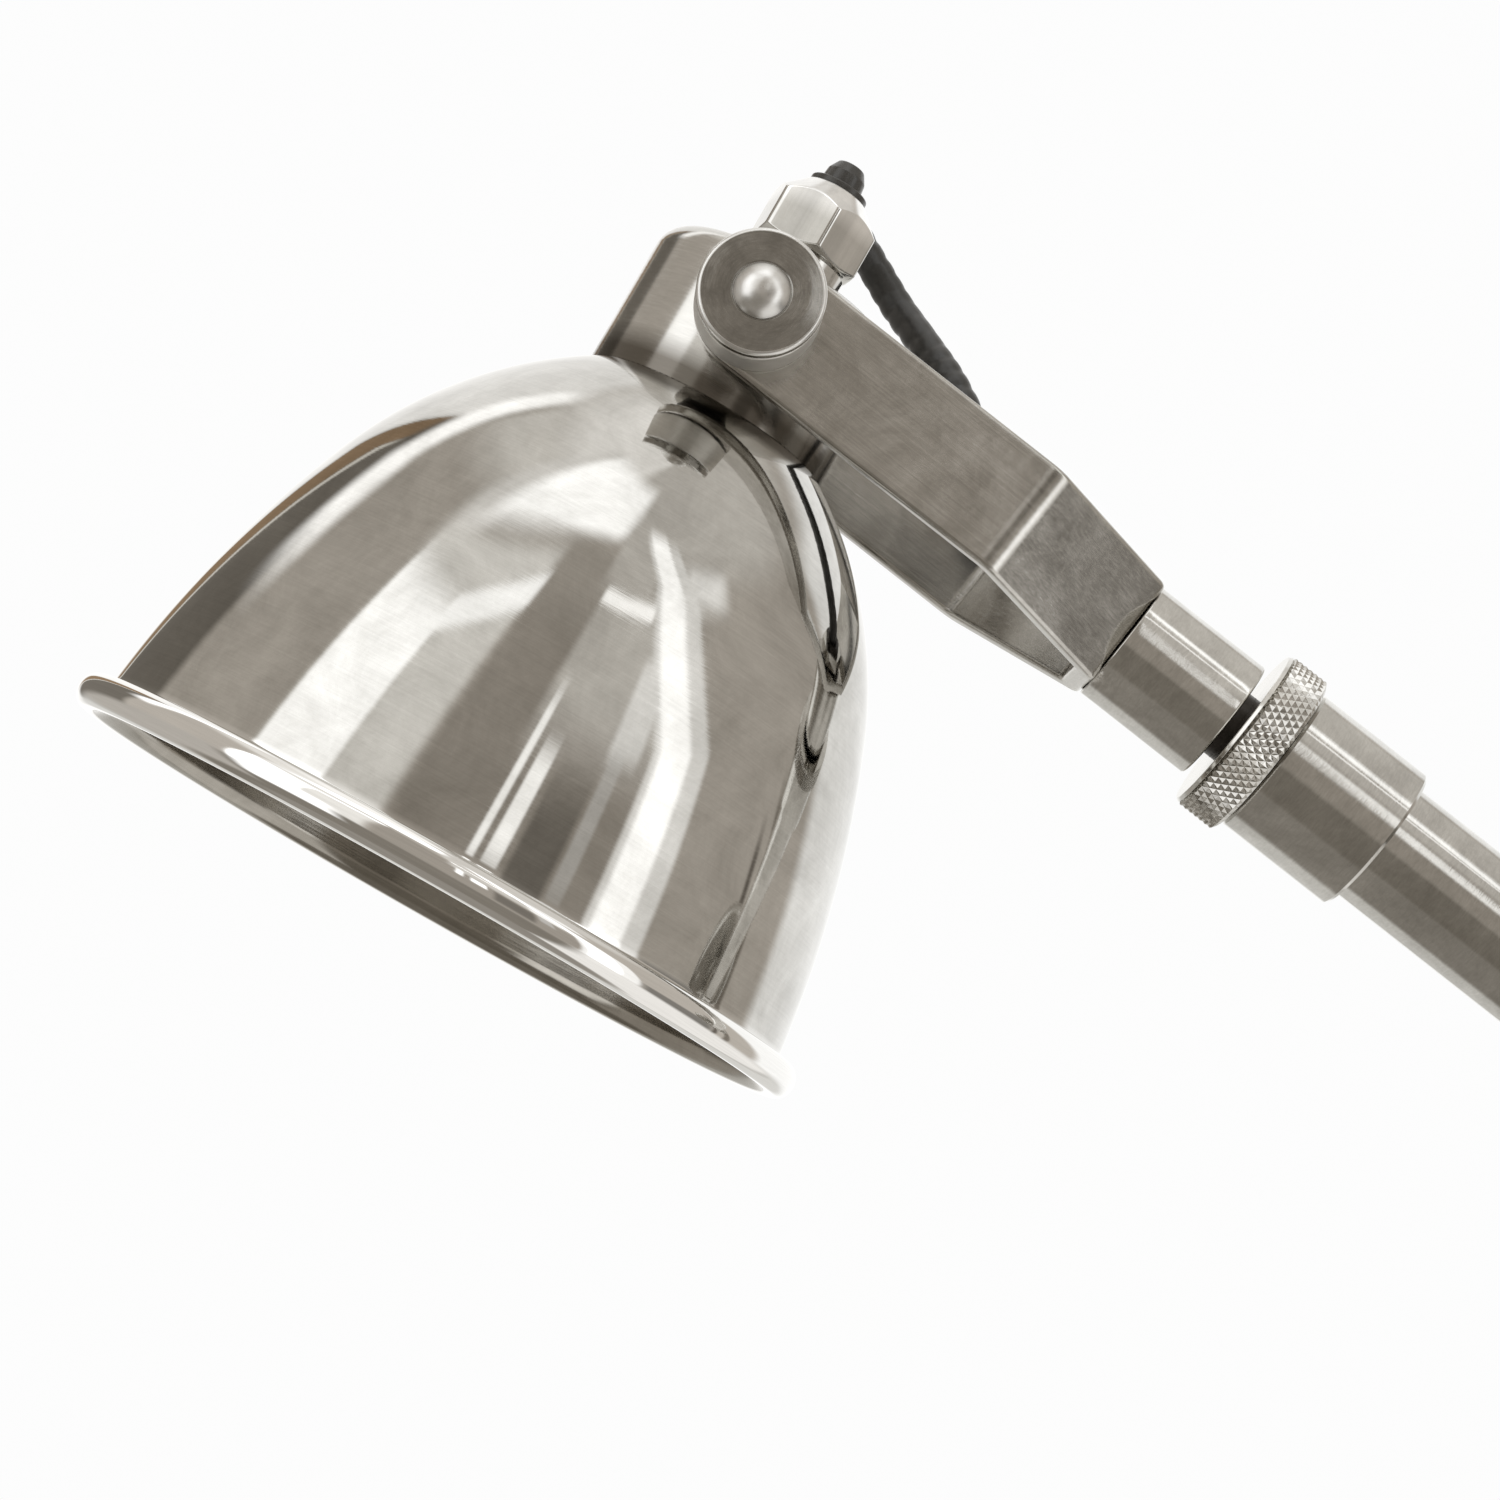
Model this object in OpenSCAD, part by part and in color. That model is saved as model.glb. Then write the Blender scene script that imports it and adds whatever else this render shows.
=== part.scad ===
// Wall lamp with a spun metal shade in a fork, on a tube arm that tilts and swings from a round wall plate.
// Frame: X to the right, Y away from the viewer, Z up. The wall is the plane X = 0, the lamp reaches to -X.

/* [Shade] */
// Outer diameter of the rolled rim
rim_d = 150; // [144:1:160]
// Height from the middle of the rim bead to the neck's seat
shade_h = 101; // [95:1:108]
// Thickness of the spun sheet
sheet_t = 1.2; // [0.8:0.1:1.8]
// Radius of the rolled rim's round edges
bead_r = 2.5; // [2:0.1:2.8]
// Width of the rolled rim, from the sheet's inside to its outer edge
rim_w = 6.2; // [5.8:0.1:8]
// Radius of the crown, next to the neck
crown_r = 84; // [78:1:88]
// Slope of the crown where it starts at the neck, in degrees
crown_slope = 34; // [31:1:36]
// Angle from the shade's axis at which the crown passes into the side
crown_end = 68.5; // [66:0.5:71]

/* [Neck] */
// Outer diameter of the neck cup
neck_d = 49.6; // [48:0.2:50.4]
// Height of the neck cup
neck_h = 30.6; // [29:0.2:34]
// Rounding of the neck's top edge
neck_edge_r = 5; // [3:0.5:7]
// Wall of the neck cup
neck_wall = 2.4; // [1.8:0.1:3]
// Height of the pivot above the neck's seat
pivot_h = 17.4; // [16:0.2:19]

/* [Cable entry] */
// Diameter of the round stub under the gland nut
stub_d = 19; // [16:0.5:20]
// Height of that stub
stub_h = 6.8; // [5:0.2:9]
// Gland nut across its flats
nut_af = 20; // [18:0.5:23]
// Height of the nut's six flats
nut_h = 9; // [7:0.5:12]
// Height of the cone on top of the nut
nut_cone_h = 5.4; // [4:0.2:6]
// Outer diameter of the cable elbow
elbow_d = 7.6; // [7.2:0.1:8.4]
// Reach of the elbow from the shade's axis
elbow_l = 7; // [6:0.5:8]
// Diameter of the flex
flex_d = 6.4; // [5:0.1:6.8]

/* [Lamp] */
// Diameter of the lampholder
holder_d = 39; // [36:0.5:40]
// Length of the lampholder
holder_l = 44; // [40:1:48]
// Diameter of the bulb's screw cap
cap_d = 26.4; // [26:0.1:27]
// Diameter of the bulb's glass
bulb_d = 45; // [42:1:50]

/* [Fork] */
// Width between the fork's arms
fork_gap = 52.2; // [51.8:0.2:56]
// Width of the bent strap
strap_w = 22.9; // [20:0.1:25]
// Thickness of the strap
strap_t = 3.6; // [3:0.1:4.5]
// Distance from the pivot to the bends
bend_s = 61.5; // [58:0.5:66]
// Distance from the pivot to the hub
hub_s = 89.5; // [86:0.5:94]
// Width over the strap's bridge at the hub
bridge_w = 22.2; // [20:0.2:25]
// Thickness of the bridge
bridge_t = 4.4; // [3.6:0.1:5]
// Diameter of the hub
hub_d = 25; // [23:0.5:28]
// Length of the hub
hub_l = 23.5; // [20:0.5:28]

/* [Clamp knobs] */
// Diameter of a clamp knob
knob_d = 23.3; // [21:0.1:26]
// Height of a clamp knob without its button
knob_h = 13; // [11:0.5:15]
// Diameter of the button on a clamp knob
button_d = 10.8; // [8:0.1:12]
// Diameter of the screws and pins that the joints turn on
pin_d = 8; // [7:0.1:9]

/* [Arm] */
// Distance from the wall joint's axis to the shade's pivot
arm_l = 380; // [300:5:450]
// Outer diameter of the arm tube
tube_d = 25; // [22:0.5:27]
// Wall of the arm tube
tube_wall = 1.5; // [1:0.1:2.5]
// Diameter of the collar at the head of the arm
collar_d = 30.6; // [29.5:0.1:33]
// Length of that collar
collar_l = 24.8; // [20:0.2:30]
// Diameter of the hollow spindle that the hub turns on
spindle_d = 14; // [13:0.5:16]
// Width of the open gap between the hub and the lock ring
ring_gap = 3.7; // [2:0.1:5]
// Diameter of the knurled lock ring
ring_d = 35; // [33:0.2:38]
// Width of the knurled lock ring
ring_w = 8.7; // [7:0.1:11]
// Number of knurl lines each way round that ring
knurl_starts = 66; // [40:2:80]
// Depth of the knurl
knurl_depth = 0.45; // [0.2:0.05:0.6]
// Angle of the knurl lines to the arm's axis, in degrees
knurl_angle = 35; // [25:1:45]

/* [Wall end] */
// Diameter of the wall plate
plate_d = 110; // [104:1:130]
// Depth of the wall plate
plate_h = 26; // [24:0.5:32]
// Rounding of the wall plate's front edge
plate_edge_r = 8; // [4:0.5:10]
// Wall of the wall plate
plate_wall = 2; // [1.5:0.1:3]
// Distance between the two screw holes in the mounting bar
wall_hole_gap = 44; // [40:1:50]
// Diameter of those screw holes
wall_hole_d = 5.2; // [4.2:0.1:6]
// Distance between the two screws that hold the plate
plate_screw_gap = 76; // [70:1:82]
// Distance from the wall to the swing pin
swing_x = 54; // [53:1:60]
// Distance from the swing pin to the tilt axis
link_l = 34; // [31:1:40]

/* [Pose in the photograph] */
// Slope of the arm, in degrees above the horizontal
arm_angle = 38.2; // [20:0.1:60]
// Lean of the shade's axis from the vertical, in degrees
shade_angle = 29.2; // [10:0.1:40]

/* [Hidden] */
$fn = 96;

// Clearances: a turning fit, a seat within one body, and the space between moving bodies
run_c = 0.05;
seat_c = 0.02;
air = 0.3;
// Chamfer on turned edges, and how far a cutter or a joined form runs past a face
soft = 0.6;
past = 1;

// Shade's frame: the pivot is the origin and +Z runs up the shade's axis
neck_r = neck_d / 2;
neck_in_r = neck_r - neck_wall;
seat_z = -pivot_h;
neck_top = seat_z + neck_h;
seat_r = neck_r;
bead_c = [rim_d / 2 - bead_r, seat_z - shade_h];
curl_c = [rim_d / 2 - rim_w + bead_r, bead_c.y];
rim_lip = 0.5;
foot = [rim_d / 2 - rim_w + sheet_t, bead_c.y + bead_r + rim_lip];
crown_c = [seat_r - crown_r * sin(crown_slope), seat_z - crown_r * cos(crown_slope)];
crown_n = [sin(crown_end), cos(crown_end)];
crown_foot = crown_c + crown_r * crown_n;
crown_mid = (crown_slope + crown_end) / 2;
side_v = foot - crown_foot;
side_r = -(side_v * side_v) / (2 * (crown_n * side_v));
side_c = crown_foot - side_r * crown_n;
side_end = atan2(foot.x - side_c.x, foot.y - side_c.y);
fine = 360;

// Lampholder and bulb
holder_r = holder_d / 2;
holder_top = -2;
holder_wall = 2.2;
cap_r = cap_d / 2;
cap_l = 27;
holder_end = holder_top - holder_l;
cap_show = 4;
socket_spare = 2;
socket_l = cap_l - cap_show + socket_spare;
cap_foot = holder_end - cap_show;
cap_wall = 1;
cap_floor = 2;
shade_ring_w = 3;
shade_ring_h = 4;
bulb_neck_r = cap_r - cap_wall - seat_c;
bulb_neck_l = 10;
bulb_neck_in = 8;
bulb_top = cap_foot + bulb_neck_in;
glass_t = 1;
bulb_r = bulb_d / 2;
bulb_z = cap_foot - bulb_neck_l - sqrt(bulb_r * bulb_r - bulb_neck_r * bulb_neck_r);

// Cable entry on the neck
entry_r = 6;
entry_len = neck_top - holder_top;
flex_r = flex_d / 2;
wire_c = 0.4;
wire_r = flex_r + wire_c;
stub_top = neck_top + stub_h;
nut_top = stub_top + nut_h;
nut_tip = nut_top + nut_cone_h;
nut_mouth_r = 6;
nut_corner_r = nut_af / 2 / cos(30);
nut_turn = -23;
// The nut's cones run out beyond its corners
nut_out_r = nut_corner_r + past;
nut_face_r = nut_af / 2 - air;
nut_low = (nut_out_r - nut_face_r) * tan(30);
nut_high = nut_h - past * nut_cone_h / (nut_corner_r - nut_mouth_r);
elbow_r = elbow_d / 2;
elbow_z = nut_tip + elbow_r;
elbow_edge = 1.6;
elbow_lip_r = 5.9;
elbow_lip_h = 1.2;

// Trunnions and fork, across the pivot
pin_r = pin_d / 2;
trunnion_r = 8;
trunnion_thread_r = 5;
trunnion_spot = 0.6;
trunnion_seat = neck_r - trunnion_spot;
fork_in = fork_gap / 2;
trunnion_face = fork_in - air;
fork_out = fork_in + strap_t;
strap_r = strap_w / 2;
bridge_r = bridge_w / 2;
bridge_s = hub_s - bridge_t;
lip_r = 2.2;
slope_s = hub_s - lip_r;
slope_a = atan2(fork_out - bridge_r, slope_s - bend_s);
inner_bend_s = bend_s - strap_t * tan(slope_a / 2);
crotch_y = fork_in - (bridge_s - inner_bend_s) * tan(slope_a);
groove_r = 1.4;
groove_depth = 0.7;

// Clamp knobs
knob_r = knob_d / 2;
button_r = button_d / 2;
knob_foot_h = 9.6;
knob_waist_h = 0.6;
knob_waist_r = knob_r - 1.2;
knob_edge_r = 0.9;
button_h = 2.6;
knob_cap_t = 3;
knob_hole_l = knob_h - knob_cap_t;

// Arm's frame: the pivot is the origin and +X runs down the arm towards the wall
tube_r = tube_d / 2;
spindle_r = spindle_d / 2;
hub_end = hub_s + hub_l;
ring_s = hub_end + ring_gap;
collar_s = ring_s + ring_w;
collar_end = collar_s + collar_l;
ring_chamfer = 0.7;
ring_l = ring_w - air;
knurl_sides = 2 * knurl_starts;
knurl_rise = PI * ring_d / knurl_sides / tan(knurl_angle);
knurl_rows = round((ring_l - 2 * ring_chamfer) / knurl_rise);
neck_thread_r = 5.5;
spindle_end_l = 9;
spindle_tip = bridge_s - spindle_end_l;
hub_washer_t = 0.8;
hub_nut_h = 5.4;
hub_nut_af = 15;
plug_l = 11.5;
tube_s = collar_s + plug_l;
foot_r = collar_d / 2;
foot_socket_l = 20;
foot_floor = 4;
foot_reach = 26;
foot_end = arm_l - foot_reach;
tube_end = foot_end - foot_floor;
ear_r = 12;
ear_t = 6;
link_r = 11.8;
link_w = 10;
ear_in = link_w / 2 + air;
ear_out = ear_in + ear_t;
ear_back = 15;
bolt_head_af = 13;
bolt_head_h = 5.5;

// Wall end, measured out from the wall
plate_r = plate_d / 2;
tilt_x = swing_x + link_l;
eye_h = 17.6;
boss_ear_in = eye_h / 2 + air;
boss_ear_t = 6;
boss_ear_out = boss_ear_in + boss_ear_t;
boss_flange_r = 18;
boss_flange_h = 4;
boss_stem_r = 15.1;
slot_c = 1.7;
boss_slot = swing_x - link_r - slot_c;
boss_thread_r = 7;
boss_thread_l = 11;
boss_wire_r = 4;
boss_nut_af = 22;
boss_nut_h = 6;
pin_head_r = 6;
pin_head_h = 2.5;
bar_w = 20;
bar_spare = 14;
bar_l = plate_screw_gap + bar_spare;
bar_t = 3;
screw_r = 2;
screw_head_r = 4.2;
screw_head_h = 2.4;
block_size = [16, 28, 9];
block_ways = 3;
block_hole_r = 2;

// Switch on the wall plate
switch_drop = 33;
switch_size = [13, 20, 17];
bush_r = 6;
bush_l = 7;
bush_mouth_r = 4.6;
switch_nut_af = 16;
switch_nut_h = 3;
lever_ball_r = 4.2;
lever_l = 18;
lever_tip_r = 3;
lever_root_r = 1.9;
lever_angle = 13;
lever_sink = 2.2;
lever_pin_r = 1;
lever_pin_l = 11.2;
lever_x = plate_h + bush_l - lever_sink;

// Free run of the flex from the elbow to the spindle: points measured from the pivot, in the lamp's own axes.
// Each end's three points stay with the elbow's mouth or the spindle's bore; the rest are moved between.
flex_points = [
    [18.6, 7, 33.4], [18.6, 8.2, 33.4], [18.6, 9.4, 33.4], [19.4, 15.6, 31.8], [21.6, 20.2, 27.4],
    [26, 21.7, 22.2], [30.6, 20.4, 15], [36.1, 16.6, 5.6], [41.3, 11.6, -4.6], [46, 6, -18],
    [50, 1.7, -31.5], [54.6, 0, -42.6], [58.6, 0, -46.1], [62.5, 0, -49.2]
];
flex_in = 3.4;
flex_held = 2;
flex_from = [elbow_z * sin(shade_angle), elbow_l + seat_c, elbow_z * cos(shade_angle)];
flex_to = (spindle_tip + flex_in) * [cos(arm_angle), 0, -sin(arm_angle)];
flex_last = len(flex_points) - 1;
flex_path = [for (i = [0 : flex_last])
    let (w = min(max((i - flex_held) / (flex_last - 2 * flex_held), 0), 1))
    flex_points[i] + (1 - w) * (flex_from - flex_points[0]) + w * (flex_to - flex_points[flex_last])];
flex_sides = 10;
flex_steps = 3;

tilt_axis = [-tilt_x, 0, 0];
pivot = tilt_axis + arm_l * [-cos(arm_angle), 0, sin(arm_angle)];

// Frames
module on_shade() {
    translate(pivot) rotate([0, shade_angle, 0]) children();
}

module on_arm() {
    translate(pivot) rotate([0, arm_angle, 0]) children();
}

// The wall's frame: +Z points into the room and +X points up
module on_wall() {
    rotate([0, -90, 0]) children();
}

module along_arm(s) {
    translate([s, 0, 0]) rotate([0, 90, 0]) children();
}

module to_far() {
    rotate([-90, 0, 0]) children();
}

module to_near() {
    rotate([90, 0, 0]) children();
}

// Half section of a cap: closed at the top with a rounded edge
module cap_section(r, h, edge) {
    square([r, h - edge]);
    square([r - edge, h]);
    translate([r - edge, h - edge]) circle(edge);
}

// Half section of a disc with both outer edges rounded
module disc_section(r, z, h, edge) {
    translate([0, z + edge]) square([r, h - 2 * edge]);
    translate([0, z]) square([r - edge, h]);
    translate([r - edge, z + edge]) circle(edge);
    translate([r - edge, z + h - edge]) circle(edge);
}

// Half section of a low dome on a flat base, let into what it stands on by sink
module dome_section(r, h, sink) {
    ball_r = (r * r + h * h) / (2 * h);
    intersection() {
        translate([0, h - ball_r]) circle(ball_r);
        translate([0, -sink]) square([r, h + sink]);
    }
}

module bar_chamfered(r, h, c) {
    rotate_extrude() polygon([[0, 0], [r - c, 0], [r, c], [r, h - c], [r - c, h], [0, h]]);
}

module hexagon(af, h) {
    cylinder(d = af / cos(30), h = h, $fn = 6);
}

// Bent sheet seen in section, between two angles from the axis
module arc_sheet(c, r, t, a_from, a_to) {
    reach = 1.5 * r;
    intersection() {
        translate(c) difference() {
            circle(r, $fn = fine);
            circle(r - t, $fn = fine);
        }
        polygon([
            c,
            c + reach * [sin(a_from), cos(a_from)],
            c + reach * [sin((a_from + a_to) / 2), cos((a_from + a_to) / 2)],
            c + reach * [sin(a_to), cos(a_to)]
        ]);
    }
}

// The shade is one sheet, drawn as four nodes that meet edge to edge: its crown has a seat for the neck,
// the shoulder and the side run down from it, and the rim's edge is rolled outwards to a broad bead
module shade_crown() {
    color("silver") on_shade() rotate_extrude() {
        arc_sheet(crown_c, crown_r, sheet_t, crown_slope, crown_mid);
        translate([holder_r + seat_c, seat_z - sheet_t]) square([seat_r - holder_r - seat_c, sheet_t]);
    }
}

module shade_shoulder() {
    color("silver") on_shade() rotate_extrude() arc_sheet(crown_c, crown_r, sheet_t, crown_mid, crown_end);
}

module shade_side() {
    color("silver") on_shade() rotate_extrude() difference() {
        arc_sheet(side_c, side_r, sheet_t, crown_end, side_end);
        translate([0, foot.y - rim_d]) square(rim_d);
    }
}

module shade_rim() {
    color("silver") on_shade() rotate_extrude() {
        translate([foot.x - sheet_t, bead_c.y]) square([sheet_t, foot.y - bead_c.y]);
        translate(curl_c) circle(bead_r);
        translate([curl_c.x, bead_c.y - bead_r]) square([bead_c.x - curl_c.x, 2 * bead_r]);
        translate(bead_c) circle(bead_r);
    }
}

module neck_cup() {
    color("lightgray") on_shade() difference() {
        translate([0, 0, seat_z]) rotate_extrude() difference() {
            cap_section(neck_r, neck_h, neck_edge_r);
            translate([0, -past])
                cap_section(neck_in_r, neck_h - neck_wall + past, neck_edge_r - neck_wall / 2);
        }
        cylinder(r = entry_r + seat_c, h = neck_h);
        for (side = [0, 1]) mirror([0, side, 0]) to_far() {
            cylinder(r = trunnion_thread_r + seat_c, h = neck_d);
            translate([0, 0, trunnion_seat]) cylinder(r = trunnion_r + air, h = neck_d);
        }
    }
}

// Ring nut that clamps the sheet's seat up against the neck
module shade_ring() {
    color("gray") on_shade() translate([0, 0, seat_z - sheet_t - shade_ring_h]) difference() {
        cylinder(r = holder_r + shade_ring_w, h = shade_ring_h);
        translate([0, 0, -past]) cylinder(r = holder_r + seat_c, h = shade_ring_h + 2 * past);
    }
}

module lampholder() {
    color("ivory") on_shade() difference() {
        translate([0, 0, holder_end]) rotate_extrude() cap_section(holder_r, holder_l, holder_wall);
        translate([0, 0, holder_end - past]) cylinder(r = cap_r + seat_c, h = socket_l + past);
        cylinder(r = wire_r, h = 2 * holder_l, center = true);
    }
}

module bulb_cap() {
    color("gold") on_shade() translate([0, 0, cap_foot]) difference() {
        cylinder(r = cap_r, h = cap_l);
        translate([0, 0, -past]) cylinder(r = cap_r - cap_wall, h = cap_l - cap_floor + past);
    }
}

// Blown bulb with a short neck that reaches into its cap
module bulb_glass() {
    color("white") on_shade() translate([0, 0, bulb_z]) difference() {
        union() {
            sphere(bulb_r);
            cylinder(r = bulb_neck_r, h = bulb_top - bulb_z);
        }
        sphere(bulb_r - glass_t);
        cylinder(r = bulb_neck_r - glass_t, h = bulb_top - bulb_z + past);
    }
}

// Shouldered pin, screwed into the neck's wall; the fork turns on it and a clamp knob screws on to its end
module trunnion() {
    to_far() {
        translate([0, 0, neck_in_r - past])
            cylinder(r = trunnion_thread_r, h = trunnion_seat - neck_in_r + past);
        translate([0, 0, trunnion_seat]) cylinder(r = trunnion_r, h = trunnion_face - trunnion_seat);
        translate([0, 0, trunnion_face]) cylinder(r = pin_r, h = strap_t + 2 * air + knob_hole_l - past);
    }
}

module trunnion_near() {
    color("dimgray") on_shade() mirror([0, 1, 0]) trunnion();
}

module trunnion_far() {
    color("dimgray") on_shade() trunnion();
}

// Turned knob: a foot ring, a dark waist, a cap with soft edges and a domed button
module clamp_knob() {
    cap_z = knob_foot_h + knob_waist_h;
    difference() {
        rotate_extrude() {
            disc_section(knob_r, 0, knob_foot_h, knob_edge_r);
            square([knob_waist_r, knob_h - past]);
            disc_section(knob_r, cap_z, knob_h - cap_z, knob_edge_r);
            translate([0, knob_h]) dome_section(button_r, button_h, past);
        }
        translate([0, 0, -past]) cylinder(r = pin_r + run_c, h = knob_hole_l + past);
    }
}

module knob_near() {
    color("silver") on_shade() to_near() translate([0, 0, fork_out + air]) clamp_knob();
}

module knob_far() {
    color("silver") on_shade() to_far() translate([0, 0, fork_out + air]) clamp_knob();
}

module gland_stub() {
    color("darkgray") on_shade() difference() {
        union() {
            translate([0, 0, neck_top]) bar_chamfered(stub_d / 2, stub_h, soft);
            translate([0, 0, neck_top - entry_len]) cylinder(r = entry_r, h = entry_len + past);
        }
        cylinder(r = wire_r, h = 4 * neck_h, center = true);
    }
}

// Six flats below, and a cone that the corners run out in
module gland_nut() {
    color("silver") on_shade() translate([0, 0, stub_top]) difference() {
        intersection() {
            rotate([0, 0, nut_turn]) hexagon(nut_af, nut_h + nut_cone_h);
            rotate_extrude() polygon([
                [0, 0], [nut_face_r, 0], [nut_out_r, nut_low], [nut_out_r, nut_high],
                [nut_mouth_r, nut_h + nut_cone_h], [0, nut_h + nut_cone_h]
            ]);
        }
        translate([0, 0, -past]) cylinder(r = wire_r, h = 2 * (nut_h + nut_cone_h));
    }
}

// Black elbow that turns the flex to the back of the lamp
module cable_elbow() {
    color("black") on_shade() {
        translate([0, 0, nut_tip]) cylinder(r = elbow_lip_r, h = elbow_lip_h);
        translate([0, 0, nut_tip]) rotate_extrude() cap_section(elbow_r, elbow_d, elbow_edge);
        translate([0, 0, elbow_z]) to_far() cylinder(r = elbow_r, h = elbow_l);
    }
}

// One point between four neighbours, on a curve that passes through every chosen point
function curve_point(a, b, c, d, t) =
    0.5 * (2 * b + (c - a) * t + (2 * a - 5 * b + 4 * c - d) * t * t + (3 * b - a - 3 * c + d) * t * t * t);
function route(p, n) = let (m = len(p)) [
    for (i = [0 : m - 2], k = [0 : n - 1])
        curve_point(p[max(i - 1, 0)], p[i], p[i + 1], p[min(i + 2, m - 1)], k / n),
    p[m - 1]
];
function unit(v) = v / norm(v);
// Each ring's side direction is the last one's, turned as little as the path allows
function sides_along(t, i, v) = let (w = unit(v - (v * t[i]) * t[i]))
    i == len(t) - 1 ? [w] : concat([w], sides_along(t, i + 1, w));

module swept_tube(p, r, n) {
    m = len(p);
    t = [for (i = [0 : m - 1]) unit(p[min(i + 1, m - 1)] - p[max(i - 1, 0)])];
    u = sides_along(t, 0, [0, 0, 1]);
    v = [for (i = [0 : m - 1]) cross(t[i], u[i])];
    rings = [for (i = [0 : m - 1], k = [0 : n - 1])
        p[i] + r * (cos(360 * k / n) * u[i] + sin(360 * k / n) * v[i])];
    walls = [for (i = [0 : m - 2], k = [0 : n - 1]) let (k2 = (k + 1) % n)
        each [[i * n + k, (i + 1) * n + k, i * n + k2], [i * n + k2, (i + 1) * n + k, (i + 1) * n + k2]]];
    polyhedron(concat(rings, [p[0], p[m - 1]]), concat(
        walls,
        [for (k = [0 : n - 1]) [m * n, k, (k + 1) % n]],
        [for (k = [0 : n - 1]) [m * n + 1, (m - 1) * n + (k + 1) % n, (m - 1) * n + k]]
    ));
}

module flex() {
    color("black") translate(pivot) swept_tube(route(flex_path, flex_steps), flex_r, flex_sides);
}

// Strap seen along its width, on one side of the arm's axis
module strap_half() {
    polygon([
        [-strap_r, fork_in], [inner_bend_s, fork_in], [bridge_s, crotch_y], [bridge_s, 0], [hub_s, 0],
        [hub_s, bridge_r - lip_r], [slope_s, bridge_r], [bend_s, fork_out], [-strap_r, fork_out]
    ]);
    translate([slope_s, bridge_r - lip_r]) circle(lip_r);
}

// One strap bent to a fork, with rounded ends, a fold line across each arm and a lip round the hub
module fork() {
    color("silver") on_arm() difference() {
        intersection() {
            linear_extrude(strap_w, center = true) {
                strap_half();
                mirror([0, 1]) strap_half();
            }
            to_near() linear_extrude(2 * fork_out + 2 * past, center = true) {
                circle(strap_r);
                translate([0, -strap_r]) square([hub_s + past, strap_w]);
            }
        }
        to_near() cylinder(r = pin_r + run_c, h = 2 * fork_out + 2 * past, center = true);
        along_arm(bridge_s - past) cylinder(r = neck_thread_r + run_c, h = bridge_t + 2 * past);
        for (side = [-1, 1]) translate([bend_s - groove_r, side * (fork_out + groove_r - groove_depth), 0])
            cylinder(r = groove_r, h = strap_w + 2 * past, center = true);
    }
}

module hub() {
    color("lightgray") on_arm() along_arm(hub_s) difference() {
        bar_chamfered(hub_d / 2, hub_l, soft);
        translate([0, 0, -past]) cylinder(r = spindle_r + run_c, h = hub_l + 2 * past);
    }
}

// Hollow spindle of the arm: the hub turns on it and the flex runs through it
module spindle() {
    color("gray") on_arm() difference() {
        union() {
            along_arm(spindle_tip) cylinder(r = neck_thread_r, h = hub_s + air - spindle_tip);
            along_arm(hub_s + air) cylinder(r = spindle_r, h = tube_s - hub_s - 2 * air);
        }
        along_arm(spindle_tip - past) cylinder(r = wire_r, h = arm_l);
    }
}

module hub_washer() {
    color("dimgray") on_arm() along_arm(bridge_s - air - hub_washer_t) difference() {
        cylinder(r = hub_nut_af / 2, h = hub_washer_t);
        translate([0, 0, -past]) cylinder(r = neck_thread_r + seat_c, h = hub_washer_t + 2 * past);
    }
}

module hub_nut() {
    color("silver") on_arm() along_arm(bridge_s - air - hub_washer_t - hub_nut_h) difference() {
        hexagon(hub_nut_af, hub_nut_h);
        translate([0, 0, -past]) cylinder(r = neck_thread_r + seat_c, h = hub_nut_h + 2 * past);
    }
}

// Diamond knurl between two chamfers: peaks and hollows take turns along each row and from row to row,
// and each square of four is folded between its hollows, so that every peak stands on a diamond
module knurled_bar(r, h, c) {
    n = knurl_sides;
    z = concat([0], [for (j = [0 : knurl_rows]) c + j * (h - 2 * c) / knurl_rows], [h]);
    last = len(z) - 1;
    points = [for (j = [0 : last], k = [0 : n - 1])
        let (q = j == 0 || j == last ? r - knurl_depth - c : r - knurl_depth * ((j + k) % 2))
        [q * cos(360 * k / n), q * sin(360 * k / n), z[j]]];
    walls = [for (j = [0 : last - 1], k = [0 : n - 1])
        let (k2 = (k + 1) % n, low = j * n + k, low2 = j * n + k2, high = low + n, high2 = low2 + n)
        each (j + k) % 2 == 0
            ? [[low, high, low2], [low2, high, high2]]
            : [[low, high, high2], [low, high2, low2]]];
    polyhedron(concat(points, [[0, 0, 0], [0, 0, h]]), concat(
        walls,
        [for (k = [0 : n - 1]) [len(points), k, (k + 1) % n]],
        [for (k = [0 : n - 1]) [len(points) + 1, last * n + (k + 1) % n, last * n + k]]
    ));
}

module lock_ring() {
    color("darkgray") on_arm() along_arm(ring_s) difference() {
        knurled_bar(ring_d / 2, ring_l, ring_chamfer);
        translate([0, 0, -past]) cylinder(r = spindle_r + run_c, h = ring_w + 2 * past);
    }
}

module head_collar() {
    color("silver") on_arm() difference() {
        along_arm(collar_s) bar_chamfered(collar_d / 2, collar_l, soft);
        along_arm(collar_s - past) cylinder(r = spindle_r + seat_c, h = collar_l + 2 * past);
        along_arm(tube_s) cylinder(r = tube_r + seat_c, h = collar_l);
    }
}

module arm_tube() {
    color("silver") on_arm() along_arm(tube_s) difference() {
        cylinder(r = tube_r, h = tube_end - tube_s);
        translate([0, 0, -past]) cylinder(r = tube_r - tube_wall, h = arm_l);
    }
}

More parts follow.
